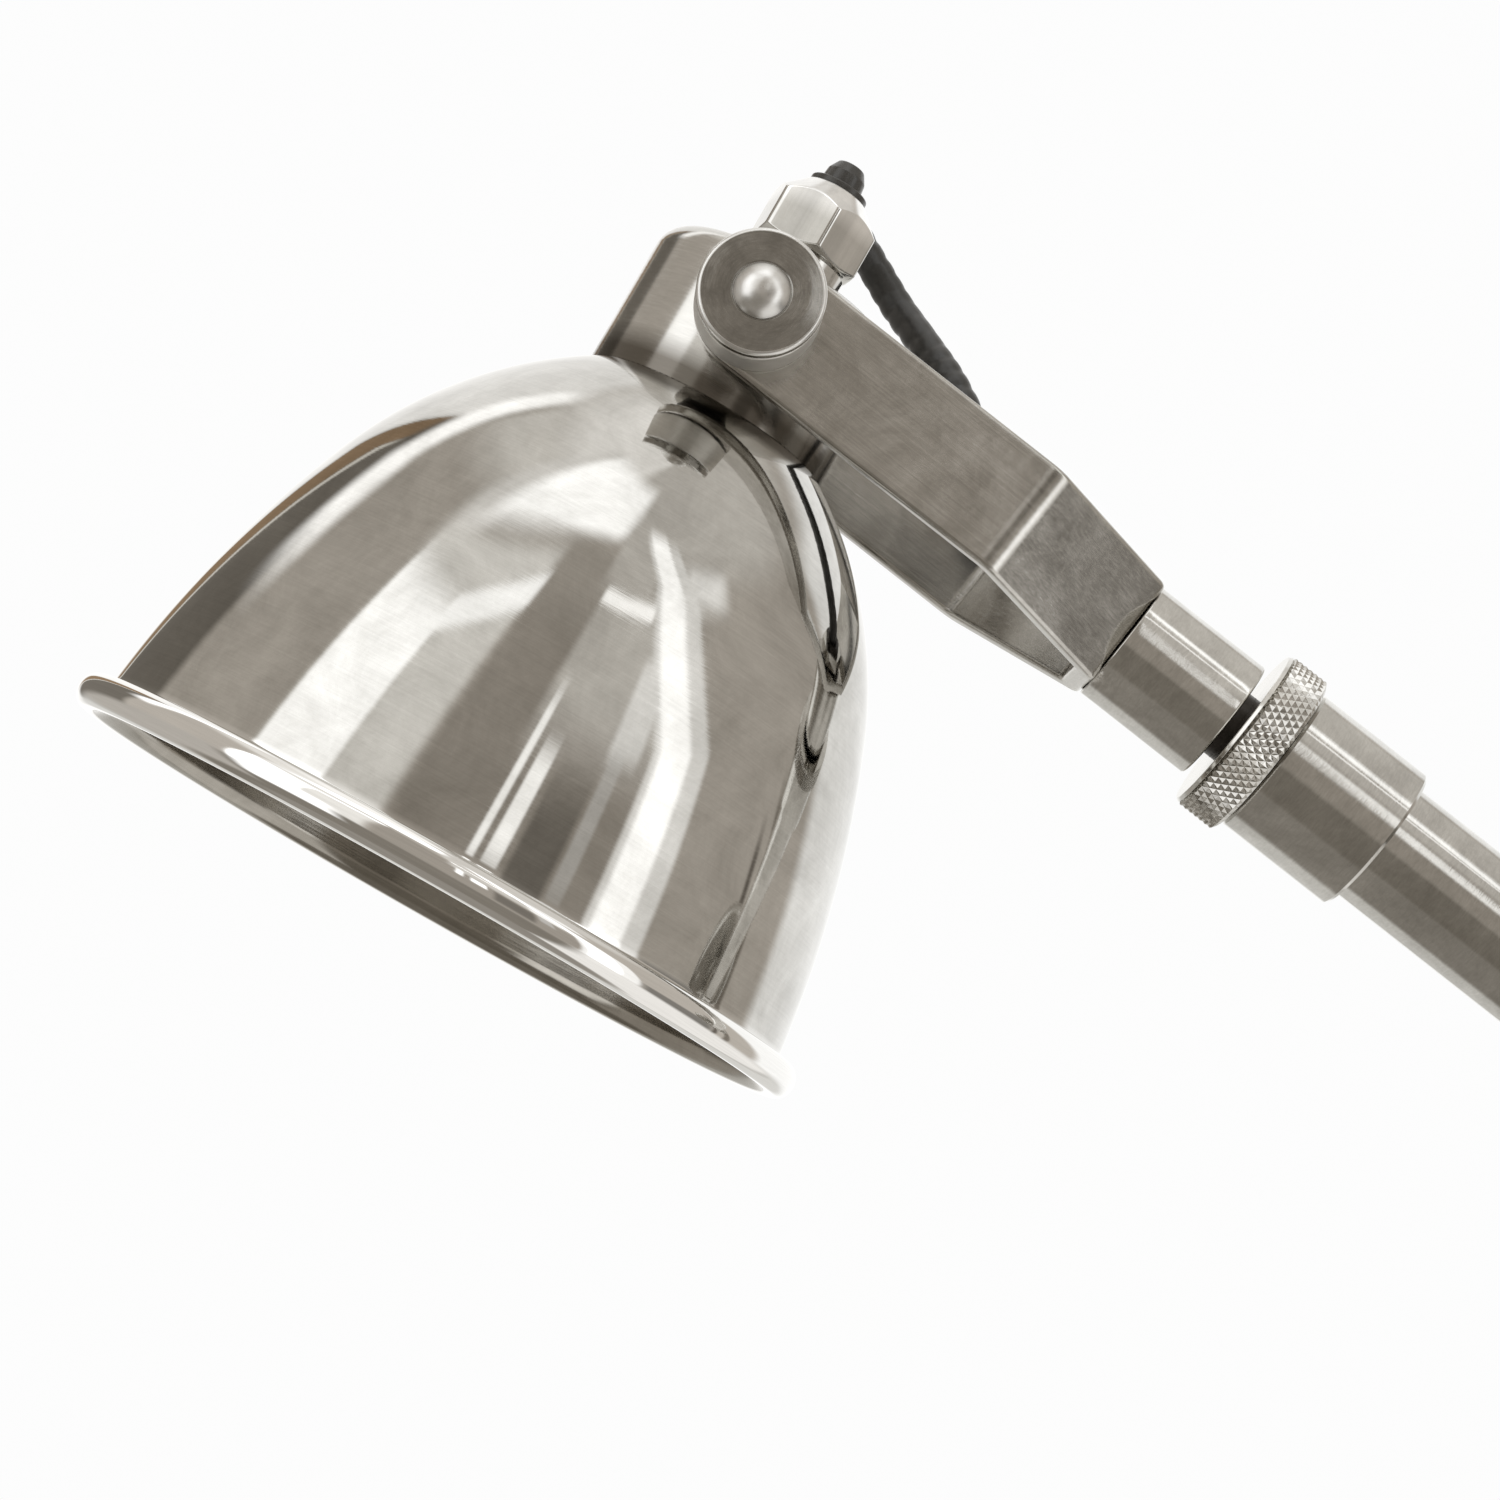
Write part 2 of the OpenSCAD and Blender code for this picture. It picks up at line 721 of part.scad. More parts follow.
// Socket for the tube, with two ears that straddle the knuckle
module arm_foot() {
    color("lightgray") on_arm() difference() {
        union() {
            along_arm(foot_end - foot_socket_l) bar_chamfered(foot_r, foot_socket_l + foot_floor, soft);
            translate([foot_end, -ear_out, -ear_r])
                cube([arm_l - ear_back - foot_end, 2 * ear_out, 2 * ear_r]);
            for (side = [0, 1]) mirror([0, side, 0]) {
                translate([arm_l, 0, 0]) to_far() translate([0, 0, ear_in]) cylinder(r = ear_r, h = ear_t);
                translate([foot_end, ear_in, -ear_r]) cube([arm_l - foot_end, ear_t, 2 * ear_r]);
            }
        }
        along_arm(foot_end - foot_socket_l - past)
            cylinder(r = tube_r + seat_c, h = foot_socket_l - foot_floor + past);
        along_arm(foot_end - foot_socket_l) cylinder(r = wire_r, h = arm_l);
        translate([arm_l, 0, 0]) to_near() cylinder(r = pin_r + seat_c, h = 3 * ear_out, center = true);
    }
}

module tilt_bolt() {
    color("dimgray") on_arm() translate([arm_l, 0, 0]) {
        to_far() translate([0, 0, ear_out]) hexagon(bolt_head_af, bolt_head_h);
        to_near() translate([0, 0, -ear_out])
            cylinder(r = pin_r, h = 2 * ear_out + air + knob_hole_l - past);
    }
}

module tilt_knob() {
    color("silver") on_arm() translate([arm_l, 0, 0]) to_near() translate([0, 0, ear_out + air]) clamp_knob();
}

// Eye for the upright swing pin, and a tongue for the tilt bolt
module swing_knuckle() {
    color("lightgray") difference() {
        union() {
            translate([-swing_x, 0, 0]) cylinder(r = link_r, h = eye_h, center = true);
            translate([-tilt_x, -link_w / 2, -eye_h / 2]) cube([link_l, link_w, eye_h]);
            translate(tilt_axis) to_near() cylinder(r = link_r, h = link_w, center = true);
        }
        translate([-swing_x, 0, 0]) cylinder(r = pin_r + run_c, h = 2 * eye_h, center = true);
        translate(tilt_axis) to_near() cylinder(r = pin_r + run_c, h = 2 * link_w, center = true);
    }
}

module swing_pin() {
    color("dimgray") translate([-swing_x, 0, 0]) {
        translate([0, 0, -boss_ear_out]) cylinder(r = pin_r, h = 2 * boss_ear_out);
        translate([0, 0, boss_ear_out]) bar_chamfered(pin_head_r, pin_head_h, soft);
    }
}

// Turned boss with a forged clevis, screwed through the wall plate
module wall_boss() {
    color("silver") difference() {
        union() {
            on_wall() {
                translate([0, 0, plate_h - boss_thread_l])
                    cylinder(r = boss_thread_r, h = boss_thread_l + past);
                translate([0, 0, plate_h]) bar_chamfered(boss_flange_r, boss_flange_h, soft);
                translate([0, 0, plate_h]) cylinder(r = boss_stem_r, h = boss_slot - plate_h);
            }
            intersection() {
                translate([-swing_x, -ear_r, -boss_ear_out])
                    cube([swing_x - plate_h - boss_flange_h, 2 * ear_r, 2 * boss_ear_out]);
                on_wall() cylinder(r = boss_stem_r, h = swing_x);
            }
            translate([-swing_x, 0, 0]) cylinder(r = ear_r, h = 2 * boss_ear_out, center = true);
        }
        translate([-2 * swing_x, -2 * ear_r, -boss_ear_in])
            cube([2 * swing_x - boss_slot, 4 * ear_r, 2 * boss_ear_in]);
        translate([-swing_x, 0, 0]) cylinder(r = pin_r + seat_c, h = 4 * boss_ear_out, center = true);
        on_wall() cylinder(r = boss_wire_r, h = swing_x);
    }
}

module boss_nut() {
    color("gray") on_wall() translate([0, 0, plate_h - plate_wall - boss_nut_h]) difference() {
        hexagon(boss_nut_af, boss_nut_h);
        translate([0, 0, -past]) cylinder(r = boss_thread_r + seat_c, h = boss_nut_h + 2 * past);
    }
}

// Spun cup with a rounded front edge, open to the wall
module wall_plate() {
    color("silver") on_wall() difference() {
        rotate_extrude() difference() {
            cap_section(plate_r, plate_h, plate_edge_r);
            translate([0, -past])
                cap_section(plate_r - plate_wall, plate_h - plate_wall + past, plate_edge_r - plate_wall);
        }
        cylinder(r = boss_thread_r + seat_c, h = 2 * plate_h);
        translate([-switch_drop, 0, 0]) cylinder(r = bush_r + seat_c, h = 2 * plate_h);
        for (side = [-1, 1]) translate([0, side * plate_screw_gap / 2, 0])
            cylinder(r = screw_r + seat_c, h = 2 * plate_h);
    }
}

// Flat bar that is screwed to the wall first; the plate then hangs on its two screws
module mounting_bar() {
    color("gray") on_wall() difference() {
        translate([-bar_w / 2, -bar_l / 2, 0]) cube([bar_w, bar_l, bar_t]);
        for (side = [-1, 1]) {
            translate([0, side * wall_hole_gap / 2, -past]) cylinder(d = wall_hole_d, h = bar_t + 2 * past);
            translate([0, side * plate_screw_gap / 2, -past])
                cylinder(r = screw_r + seat_c, h = bar_t + 2 * past);
        }
    }
}

module plate_screws() {
    color("silver") on_wall() for (side = [-1, 1]) translate([0, side * plate_screw_gap / 2, 0]) {
        translate([0, 0, air]) cylinder(r = screw_r, h = plate_h - air);
        translate([0, 0, plate_h]) rotate_extrude() dome_section(screw_head_r, screw_head_h, 0);
    }
}

module terminal_block() {
    color("white") on_wall() translate([0, 0, bar_t]) difference() {
        translate([-block_size.x / 2, -block_size.y / 2, 0]) cube(block_size);
        for (way = [0 : block_ways - 1])
            translate([0, (way - (block_ways - 1) / 2) * block_size.y / block_ways, block_size.z / 2])
                rotate([0, 90, 0]) cylinder(r = block_hole_r, h = 2 * block_size.x, center = true);
    }
}

// Toggle switch: the box is behind the plate and its bush comes through to a ring nut
module switch_body() {
    color("dimgray") on_wall() translate([-switch_drop, 0, 0]) difference() {
        union() {
            translate([-switch_size.x / 2, -switch_size.y / 2, plate_h - plate_wall - switch_size.z])
                cube(switch_size);
            translate([0, 0, plate_h - plate_wall - past])
                cylinder(r = bush_r, h = plate_wall + bush_l + past);
        }
        translate([0, 0, lever_x - bush_mouth_r]) cylinder(r = bush_mouth_r, h = 3 * bush_mouth_r);
        translate([0, 0, lever_x]) to_far() cylinder(r = lever_pin_r + run_c, h = 3 * bush_r, center = true);
    }
}

module switch_nut() {
    color("silver") on_wall() translate([-switch_drop, 0, plate_h]) difference() {
        hexagon(switch_nut_af, switch_nut_h);
        translate([0, 0, -past]) cylinder(r = bush_r + seat_c, h = switch_nut_h + 2 * past);
    }
}

// Lever with a ball root, on a cross pin in the bush
module switch_lever() {
    color("silver") on_wall() translate([-switch_drop, 0, lever_x]) rotate([0, -lever_angle, 0]) {
        sphere(lever_ball_r);
        to_far() cylinder(r = lever_pin_r, h = lever_pin_l, center = true);
        cylinder(r1 = lever_root_r, r2 = lever_tip_r, h = lever_l);
        translate([0, 0, lever_l]) sphere(lever_tip_r);
    }
}

shade_crown();
shade_shoulder();
shade_side();
shade_rim();
neck_cup();
shade_ring();
lampholder();
bulb_cap();
bulb_glass();
trunnion_near();
trunnion_far();
knob_near();
knob_far();
gland_stub();
gland_nut();
cable_elbow();
flex();
fork();
hub();
hub_nut();
hub_washer();
spindle();
lock_ring();
head_collar();
arm_tube();
arm_foot();
tilt_bolt();
tilt_knob();
swing_knuckle();
swing_pin();
wall_boss();
boss_nut();
wall_plate();
mounting_bar();
plate_screws();
terminal_block();
switch_body();
switch_nut();
switch_lever();
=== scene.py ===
# Wall lamp in satin nickel: the looks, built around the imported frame
import math

import bpy
import numpy as np
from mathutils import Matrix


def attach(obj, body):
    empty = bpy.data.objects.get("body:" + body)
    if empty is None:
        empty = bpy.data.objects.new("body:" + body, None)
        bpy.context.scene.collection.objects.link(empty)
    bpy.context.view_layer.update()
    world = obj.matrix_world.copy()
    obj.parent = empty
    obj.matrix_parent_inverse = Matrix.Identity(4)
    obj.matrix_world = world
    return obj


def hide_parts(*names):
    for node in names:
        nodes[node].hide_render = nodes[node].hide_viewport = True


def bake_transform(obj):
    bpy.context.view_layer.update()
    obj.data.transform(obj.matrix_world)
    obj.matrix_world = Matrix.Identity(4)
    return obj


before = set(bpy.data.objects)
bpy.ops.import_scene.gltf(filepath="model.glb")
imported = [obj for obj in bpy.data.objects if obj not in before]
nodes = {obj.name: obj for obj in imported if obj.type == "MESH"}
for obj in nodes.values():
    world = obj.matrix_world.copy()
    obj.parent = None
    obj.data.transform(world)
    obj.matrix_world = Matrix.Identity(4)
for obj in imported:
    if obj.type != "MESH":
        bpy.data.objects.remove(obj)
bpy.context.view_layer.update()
scene = bpy.context.scene
scene.view_settings.view_transform = "Standard"
print("frame:", len(nodes), "nodes")

mm = 0.001  # the pieces below are drawn in millimetres

# the lamp's two tilted frames: both start at the shade's pivot
pivot = np.array([-0.38663, 0.0, 0.23499])
shadeLean, armSlope = math.radians(29.2), math.radians(38.2)


def turnedFrame(angle):
    # columns are the frame's own x, y and z, turned about the lamp's y axis
    c, s = math.cos(angle), math.sin(angle)
    return np.array([[c, 0, s], [0, 1, 0], [-s, 0, c]])


shadeAxes, armAxes = turnedFrame(shadeLean), turnedFrame(armSlope)


# camera, fitted to the photograph's outlines; angles in degrees
cameraView = {"fromPivot": (-0.03422, -0.61495, -0.14787), "yaw": 3.21, "pitch": 6.6, "lens": 79.79,
              "sensor": 36, "near": 0.01}


def makeCamera():
    view = cameraView
    data = bpy.data.cameras.new("photoCamera")
    data.lens, data.sensor_width, data.clip_start = view["lens"], view["sensor"], view["near"]
    camera = bpy.data.objects.new("photoCamera", data)
    camera.location = pivot + np.array(view["fromPivot"])
    camera.rotation_euler = (math.radians(90 + view["pitch"]), 0, -math.radians(view["yaw"]))
    scene.collection.objects.link(camera)
    scene.camera = camera
    print("camera ready")


def addNode(tree, kind, inputs=None, **settings):
    # one shader node: plain values go on its sockets, sockets are linked
    made = tree.nodes.new(kind)
    for key, value in settings.items():
        setattr(made, key, value)
    for key, value in (inputs or {}).items():
        if isinstance(value, bpy.types.NodeSocket):
            tree.links.new(value, made.inputs[key])
        else:
            made.inputs[key].default_value = value
    return made


def maths(tree, operation, a, b=0.0):
    return addNode(tree, "ShaderNodeMath", {0: a, 1: b}, operation=operation).outputs["Value"]


def vectorMaths(tree, operation, inputs, result="Vector"):
    return addNode(tree, "ShaderNodeVectorMath", inputs, operation=operation).outputs[result]


def spanned(tree, value, span, to=(0.0, 1.0), **settings):
    # carries a value from one span onto another, held at the ends
    inputs = {"Value": value, "From Min": span[0], "From Max": span[1], "To Min": to[0], "To Max": to[1]}
    return addNode(tree, "ShaderNodeMapRange", inputs, **settings).outputs["Result"]


def mixed(tree, share, a, b, **settings):
    # a share of the second colour over the first
    inputs = {"Factor": share, "A": a, "B": b}
    return addNode(tree, "ShaderNodeMix", inputs, data_type="RGBA", **settings).outputs[2]


def noise(tree, place, scale, quality, extra=None, **settings):
    # quality is the noise's detail and its roughness
    inputs = {"Vector": place, "Scale": scale, "Detail": quality[0], "Roughness": quality[1], **(extra or {})}
    return addNode(tree, "ShaderNodeTexNoise", inputs, **settings).outputs["Fac"]


def solid(colour):
    return (*colour, 1)


def newMaterial(name):
    material = bpy.data.materials.new(name)
    material.use_nodes = True
    tree = material.node_tree
    return material, tree, tree.nodes["Principled BSDF"]


# what the finishes share: noise as detail and roughness, the spans that one noise and two added ones fill, and the
# bump's depth in metres
grainRules = {"straight": (4.0, 0.65), "round": (3.0, 0.6), "clouds": (8.0, 0.7), "cloudTwist": 0.4,
              "mottle": (4.0, 0.5), "oneSpan": (0.3, 0.7), "twoSpan": (0.65, 1.35), "bumpDepth": 0.0002}


def axisCoordinates(tree, look):
    # object coordinates moved into a piece's own frame, with its z along its axis
    inputs = {"Vector": addNode(tree, "ShaderNodeTexCoord").outputs["Object"],
              "Location": look["centre"], "Rotation": look["turn"]}
    return addNode(tree, "ShaderNodeMapping", inputs, vector_type="TEXTURE").outputs["Vector"]


def brushLines(tree, local, look):
    # fine lines: straight along the frame's x, or round its z with radius and height as the fine directions
    if look["grain"] == "along":
        inputs = {"Vector": local, "Scale": look["lineScale"]}
        stretched = addNode(tree, "ShaderNodeMapping", inputs).outputs["Vector"]
        return noise(tree, stretched, 1.0, grainRules["straight"])
    slow, fine = look["lineScale"]
    parts = addNode(tree, "ShaderNodeSeparateXYZ", {"Vector": local}).outputs
    flat = addNode(tree, "ShaderNodeCombineXYZ", {"X": parts["X"], "Y": parts["Y"]}).outputs["Vector"]
    radius = vectorMaths(tree, "LENGTH", {0: flat}, "Value")
    around = vectorMaths(tree, "NORMALIZE", {0: flat})
    turnPart = vectorMaths(tree, "SCALE", {0: around, "Scale": slow})
    rise = addNode(tree, "ShaderNodeCombineXYZ", {"Z": maths(tree, "MULTIPLY", parts["Z"], fine)}).outputs["Vector"]
    wound = vectorMaths(tree, "ADD", {0: turnPart, 1: rise})
    outPart = maths(tree, "MULTIPLY", radius, fine)
    return noise(tree, wound, 1.0, grainRules["round"], {"W": outPart}, noise_dimensions="4D")


def coat(tree, shader, colour, rough, relief, strength):
    # colour, roughness and a fine bump on a shader
    inputs = {"Height": relief, "Strength": strength, "Distance": grainRules["bumpDepth"]}
    bump = addNode(tree, "ShaderNodeBump", inputs).outputs["Normal"]
    for socket, value in (("Base Color", colour), ("Roughness", rough), ("Normal", bump)):
        tree.links.new(value, shader.inputs[socket])


def nickel(name, look):
    # plated metal: brush lines, cloudy patina and a stretched highlight across the lines
    material, tree, shader = newMaterial(name)
    oneSpan, twoSpan = grainRules["oneSpan"], grainRules["twoSpan"]
    local = axisCoordinates(tree, look)
    lines = brushLines(tree, local, look)
    clouds = noise(tree, local, look["cloudScale"], grainRules["clouds"], {"Distortion": grainRules["cloudTwist"]})
    dark, light = look["tones"]
    plate = mixed(tree, spanned(tree, clouds, oneSpan), solid(dark), solid(light))
    if "paintedLightAndPolish" in look:
        # a tone blended in from one height on the axis to another: on the shade's rim polish and a painted highlight,
        # on the nut's cone a painted highlight, at the neck's foot painted shade
        first, last, tone = look["paintedLightAndPolish"]
        height = addNode(tree, "ShaderNodeSeparateXYZ", {"Vector": local}).outputs["Z"]
        plate = mixed(tree, spanned(tree, height, (first, last)), plate, solid(tone))
    lineTone = spanned(tree, lines, oneSpan, (1 - look["lineTone"], 1.0))
    colour = mixed(tree, 1.0, plate, lineTone, blend_type="MULTIPLY")
    rough = spanned(tree, maths(tree, "ADD", lines, clouds), twoSpan, look["roughness"])
    coat(tree, shader, colour, rough, lines, look["bump"])
    shader.inputs["Metallic"].default_value = 1.0
    shader.inputs["Anisotropic"].default_value = look["stretch"]
    across = addNode(tree, "ShaderNodeVectorTransform", {"Vector": look["across"]}, vector_type="VECTOR",
                     convert_from="OBJECT", convert_to="WORLD").outputs["Vector"]
    tree.links.new(across, shader.inputs["Tangent"])
    return material


def plainSurface(name, look):
    # plastics, rubber and glass: a mottled colour, mottled gloss and a fine grain
    material, tree, shader = newMaterial(name)
    local = addNode(tree, "ShaderNodeTexCoord").outputs["Object"]
    grain = noise(tree, local, look["grain"], grainRules["mottle"])
    dark, light = look["tones"]
    colour = mixed(tree, grain, solid(dark), solid(light))
    rough = spanned(tree, grain, grainRules["oneSpan"], look["roughness"])
    coat(tree, shader, colour, rough, grain, look["bump"])
    return material


def gridObject(name, points, wrapTurns=False, wrapRows=False, poles=False):
    # a grid of points, rows by turns, as one smooth mesh of quads; poles close the first and last rows with a fan
    rows, turns = points.shape[:2]
    i = np.arange(rows if wrapRows else rows - 1)[:, None]
    k = np.arange(turns if wrapTurns else turns - 1)[None, :]
    i2, k2 = (i + 1) % rows, (k + 1) % turns
    faces = np.stack([i * turns + k, i * turns + k2, i2 * turns + k2, i2 * turns + k], -1).reshape(-1, 4).tolist()
    places = points.reshape(-1, 3)
    if poles:
        places = np.concatenate([places, points[[0, -1]].mean(1)])
        k, k2, last = k[0], k2[0], (rows - 1) * turns
        faces += np.stack([k2, k, np.full(turns, rows * turns)], -1).tolist()
        faces += np.stack([last + k, last + k2, np.full(turns, rows * turns + 1)], -1).tolist()
    mesh = bpy.data.meshes.new(name)
    mesh.from_pydata(places, [], faces)
    mesh.polygons.foreach_set("use_smooth", np.ones(len(mesh.polygons), bool))
    mesh.update()
    made = bpy.data.objects.new(name, mesh)
    scene.collection.objects.link(made)
    return made


def arcPoints(centre, radius, start, end, count):
    # points on a circle in a half section, at angles in degrees from the upright axis
    a = np.radians(np.linspace(start, end, count))
    return np.stack([centre[0] + radius * np.sin(a), centre[1] + radius * np.cos(a)], -1)


def roundedPath(corners, sideSteps=8, cornerSteps=7):
    # corners are x, y and fillet: straight sides, with points closer together at their ends, and arcs that touch them
    table = np.array(corners, float)
    corner, fillet = table[:, :2], table[:, 2]
    side = corner[1:] - corner[:-1]
    along = side / np.linalg.norm(side, axis=1, keepdims=True)
    before, after = along[:-1], along[1:]
    turn = np.arctan2(before[:, 0] * after[:, 1] - before[:, 1] * after[:, 0], (before * after).sum(1))
    cut = np.zeros(len(corner))
    cut[1:-1] = fillet[1:-1] * np.tan(np.abs(turn) / 2)
    first, last = corner[:-1] + along * cut[:-1, None], corner[1:] - along * cut[1:, None]
    share = (0.5 - 0.5 * np.cos(np.linspace(0, np.pi, sideSteps)))[None, :, None]
    sides = first[:, None] + (last - first)[:, None] * share
    spoke = np.sign(turn)[:, None] * fillet[1:-1, None] * np.stack([before[:, 1], -before[:, 0]], -1)
    swing = turn[:, None] * np.linspace(0, 1, cornerSteps + 2)[1:-1]
    c, s = np.cos(swing), np.sin(swing)
    spun = np.stack([spoke[:, :1] * c - spoke[:, 1:] * s, spoke[:, :1] * s + spoke[:, 1:] * c], -1)
    arcs = (last[:-1] - spoke)[:, None] + spun
    return np.concatenate([np.concatenate([sides[:-1], arcs], 1).reshape(-1, 2), sides[-1]])


def revolved(name, profile, axes, centre, turns, closed=False):
    # a half section (radius, height) turned about the third axis; its outer side runs upwards
    t = np.linspace(0, 2 * np.pi, turns, endpoint=False)[None, :, None]
    r, z = profile[:, None, :1] * mm, profile[:, None, 1:] * mm
    points = np.array(centre) + r * (np.cos(t) * axes[:, 0] + np.sin(t) * axes[:, 1]) + z * axes[:, 2]
    return gridObject(name, points, wrapTurns=True, wrapRows=closed, poles=not closed)


# studio: the camera, and rays through glass, see plain white; all other rays see a grey room with soft cards.
# A card's place is in degrees: azimuth about the shade's axis from the camera's side (right is plus) and elevation up
# that axis. "bend" moves a card to the left above a height, by so much for each degree. "rise" tilts its lower and
# upper edges by so much for each degree of azimuth past the first number. Later cards lie over earlier ones
studio = {"white": 0.98, "room": (0.53, 0.49, 0.44)}
cards = {
    "ceiling": {"az": (-181, 181), "el": (58, 95), "soft": (1, 6), "tone": (0.7, 0.671, 0.627)},
    "leftCeiling": {"az": (-150, -26), "el": (60, 95), "soft": (10, 10), "tone": (1.12, 1.1, 1.07)},
    "leftBack": {"az": (-240, -121), "el": (-30, 57), "soft": (5, 4), "tone": (1.1, 1.09, 1.07)},
    "leftDark": {"az": (-157, -115), "el": (-60, 15.5), "soft": (3, 2), "tone": (0.19, 0.172, 0.148),
                 "rise": (-150, 0, 0.85)},
    "woodLine": {"az": (-160, -128), "el": (7.4, 8.8), "soft": (3, 0.6), "tone": (0.8, 0.77, 0.71),
                 "rise": (-150, 0.85, 0.85)},
    "wood": {"az": (-160, -126), "el": (9, 15.5), "soft": (3, 0.6), "tone": (0.31, 0.215, 0.135),
             "rise": (-150, 0.85, 0.85)},
    "leftLamp": {"az": (-121, -109), "el": (20, 55), "soft": (4, 5), "tone": (1.66, 1.66, 1.66), "bend": (30, 0.42)},
    "leftHaze": {"az": (-114, -58), "el": (46, 61), "soft": (5, 7), "tone": (0.9, 0.872, 0.826)},
    "windowSide": {"az": (-70, -57), "el": (37, 76), "soft": (5, 5), "tone": (1.0, 0.98, 0.95)},
    "ceilingLamp": {"az": (-60, -2.5), "el": (47, 75), "soft": (5, 3.4), "tone": (1.66, 1.67, 1.68),
                    "rise": (-45, 0.25, 0)},
    "windowGlow": {"az": (-68, -22), "el": (-28, 44), "soft": (2.5, 2), "tone": (0.94, 0.92, 0.88),
                   "rise": (-45, 0, 0.22)},
    "window": {"az": (-68, -42.5), "el": (-30, 35), "soft": (1.2, 3), "tone": (1.7, 1.71, 1.72)},
    "windowHead": {"az": (-44, -20.5), "el": (35, 40), "soft": (1.2, 1.2), "tone": (1.62, 1.63, 1.64),
                   "rise": (-35, 0.4, 0.4)},
    "front": {"az": (-20.5, 47), "el": (-12, 44), "soft": (2.5, 5), "tone": (0.385, 0.35, 0.308)},
    "frontDark": {"az": (18, 31), "el": (-6, 26), "soft": (1.2, 6), "tone": (0.205, 0.186, 0.162)},
    "paneGlow": {"az": (3, 48), "el": (31, 50), "soft": (2, 6), "tone": (0.7, 0.672, 0.628)},
    "paneTop": {"az": (-1, 22), "el": (49, 63), "soft": (2, 3), "tone": (0.72, 0.69, 0.645)},
    "paneLeft": {"az": (5.6, 8), "el": (14, 35), "soft": (0.6, 3), "tone": (1.48, 1.48, 1.47)},
    "paneRight": {"az": (10.4, 15.6), "el": (15, 29), "soft": (0.6, 3), "tone": (1.48, 1.48, 1.47)},
    "paneHead": {"az": (3, 27), "el": (46.5, 48.5), "soft": (1.2, 0.5), "tone": (1.7, 1.7, 1.7)},
    "slit": {"az": (32.4, 37.4), "el": (14, 36), "soft": (0.8, 5), "tone": (0.58, 0.56, 0.53)},
    "slitHead": {"az": (31, 42), "el": (31, 42), "soft": (1.5, 2), "tone": (1.08, 1.07, 1.05)},
    "stripGlow": {"az": (46, 67), "el": (-24, 62), "soft": (1.2, 3), "tone": (1.08, 1.07, 1.05), "bend": (33, 1.3)},
    "strip": {"az": (48.5, 60), "el": (-24, 63), "soft": (1.2, 3), "tone": (1.74, 1.75, 1.76), "bend": (33, 1.3)},
    "stripHead": {"az": (36, 60), "el": (49.5, 58.5), "soft": (5, 3), "tone": (1.12, 1.11, 1.09)},
    "rightLow": {"az": (68, 97), "el": (-20, 10), "soft": (3, 3), "tone": (0.235, 0.22, 0.2)},
    "rightLine": {"az": (97.5, 99.5), "el": (-20, 24), "soft": (0.8, 3), "tone": (0.16, 0.14, 0.12)},
    "rightPost": {"az": (103, 106), "el": (-20, 27), "soft": (0.8, 3), "tone": (0.22, 0.195, 0.165)},
    "rightBack": {"az": (123, 240), "el": (-30, 52), "soft": (4, 5), "tone": (1.1, 1.1, 1.09)},
    "below": {"az": (-181, 181), "el": (-64, -12), "soft": (1, 5), "tone": (0.235, 0.213, 0.182)},
    "belowWindow": {"az": (-66, -32), "el": (-32, 0), "soft": (5, 4), "tone": (1.5, 1.5, 1.5)},
    "belowLeft": {"az": (-150, -72), "el": (-46, -6), "soft": (6, 5), "tone": (0.5, 0.47, 0.43)},
    "belowRight": {"az": (46, 140), "el": (-60, -9), "soft": (5, 5), "tone": (0.95, 0.93, 0.9)},
    "table": {"az": (-181, 181), "el": (-95, -60), "soft": (1, 5), "tone": (0.31, 0.287, 0.255)},
    "backLow": {"az": (140, 260), "el": (-58, -8), "soft": (8, 6), "tone": (0.74, 0.73, 0.7)},
    "backLowLeft": {"az": (-260, -150), "el": (-58, -8), "soft": (8, 6), "tone": (0.74, 0.73, 0.7)},
}


def softSpan(tree, low, high, span, soft):
    # one inside a span, with a smooth step up at its first end and down at its last
    first, last = span
    rising = spanned(tree, low, (first - soft, first + soft), interpolation_type="SMOOTHSTEP")
    falling = spanned(tree, high, (last - soft, last + soft), (1.0, 0.0), interpolation_type="SMOOTHSTEP")
    return maths(tree, "MULTIPLY", rising, falling)


def cardMask(tree, az, el, card):
    # one on the card, falling smoothly to nothing past its four edges
    low = high = el
    if "bend" in card:
        height, shift = card["bend"]
        above = maths(tree, "MAXIMUM", maths(tree, "SUBTRACT", el, height), 0.0)
        az = maths(tree, "ADD", az, maths(tree, "MULTIPLY", above, shift))
    if "rise" in card:
        start, *rises = card["rise"]
        past = maths(tree, "SUBTRACT", az, start)
        low, high = (maths(tree, "SUBTRACT", el, maths(tree, "MULTIPLY", past, rise)) for rise in rises)
    softAz, softEl = card["soft"]
    across = softSpan(tree, az, az, card["az"], softAz)
    up = softSpan(tree, low, high, card["el"], softEl)
    return maths(tree, "MULTIPLY", across, up)


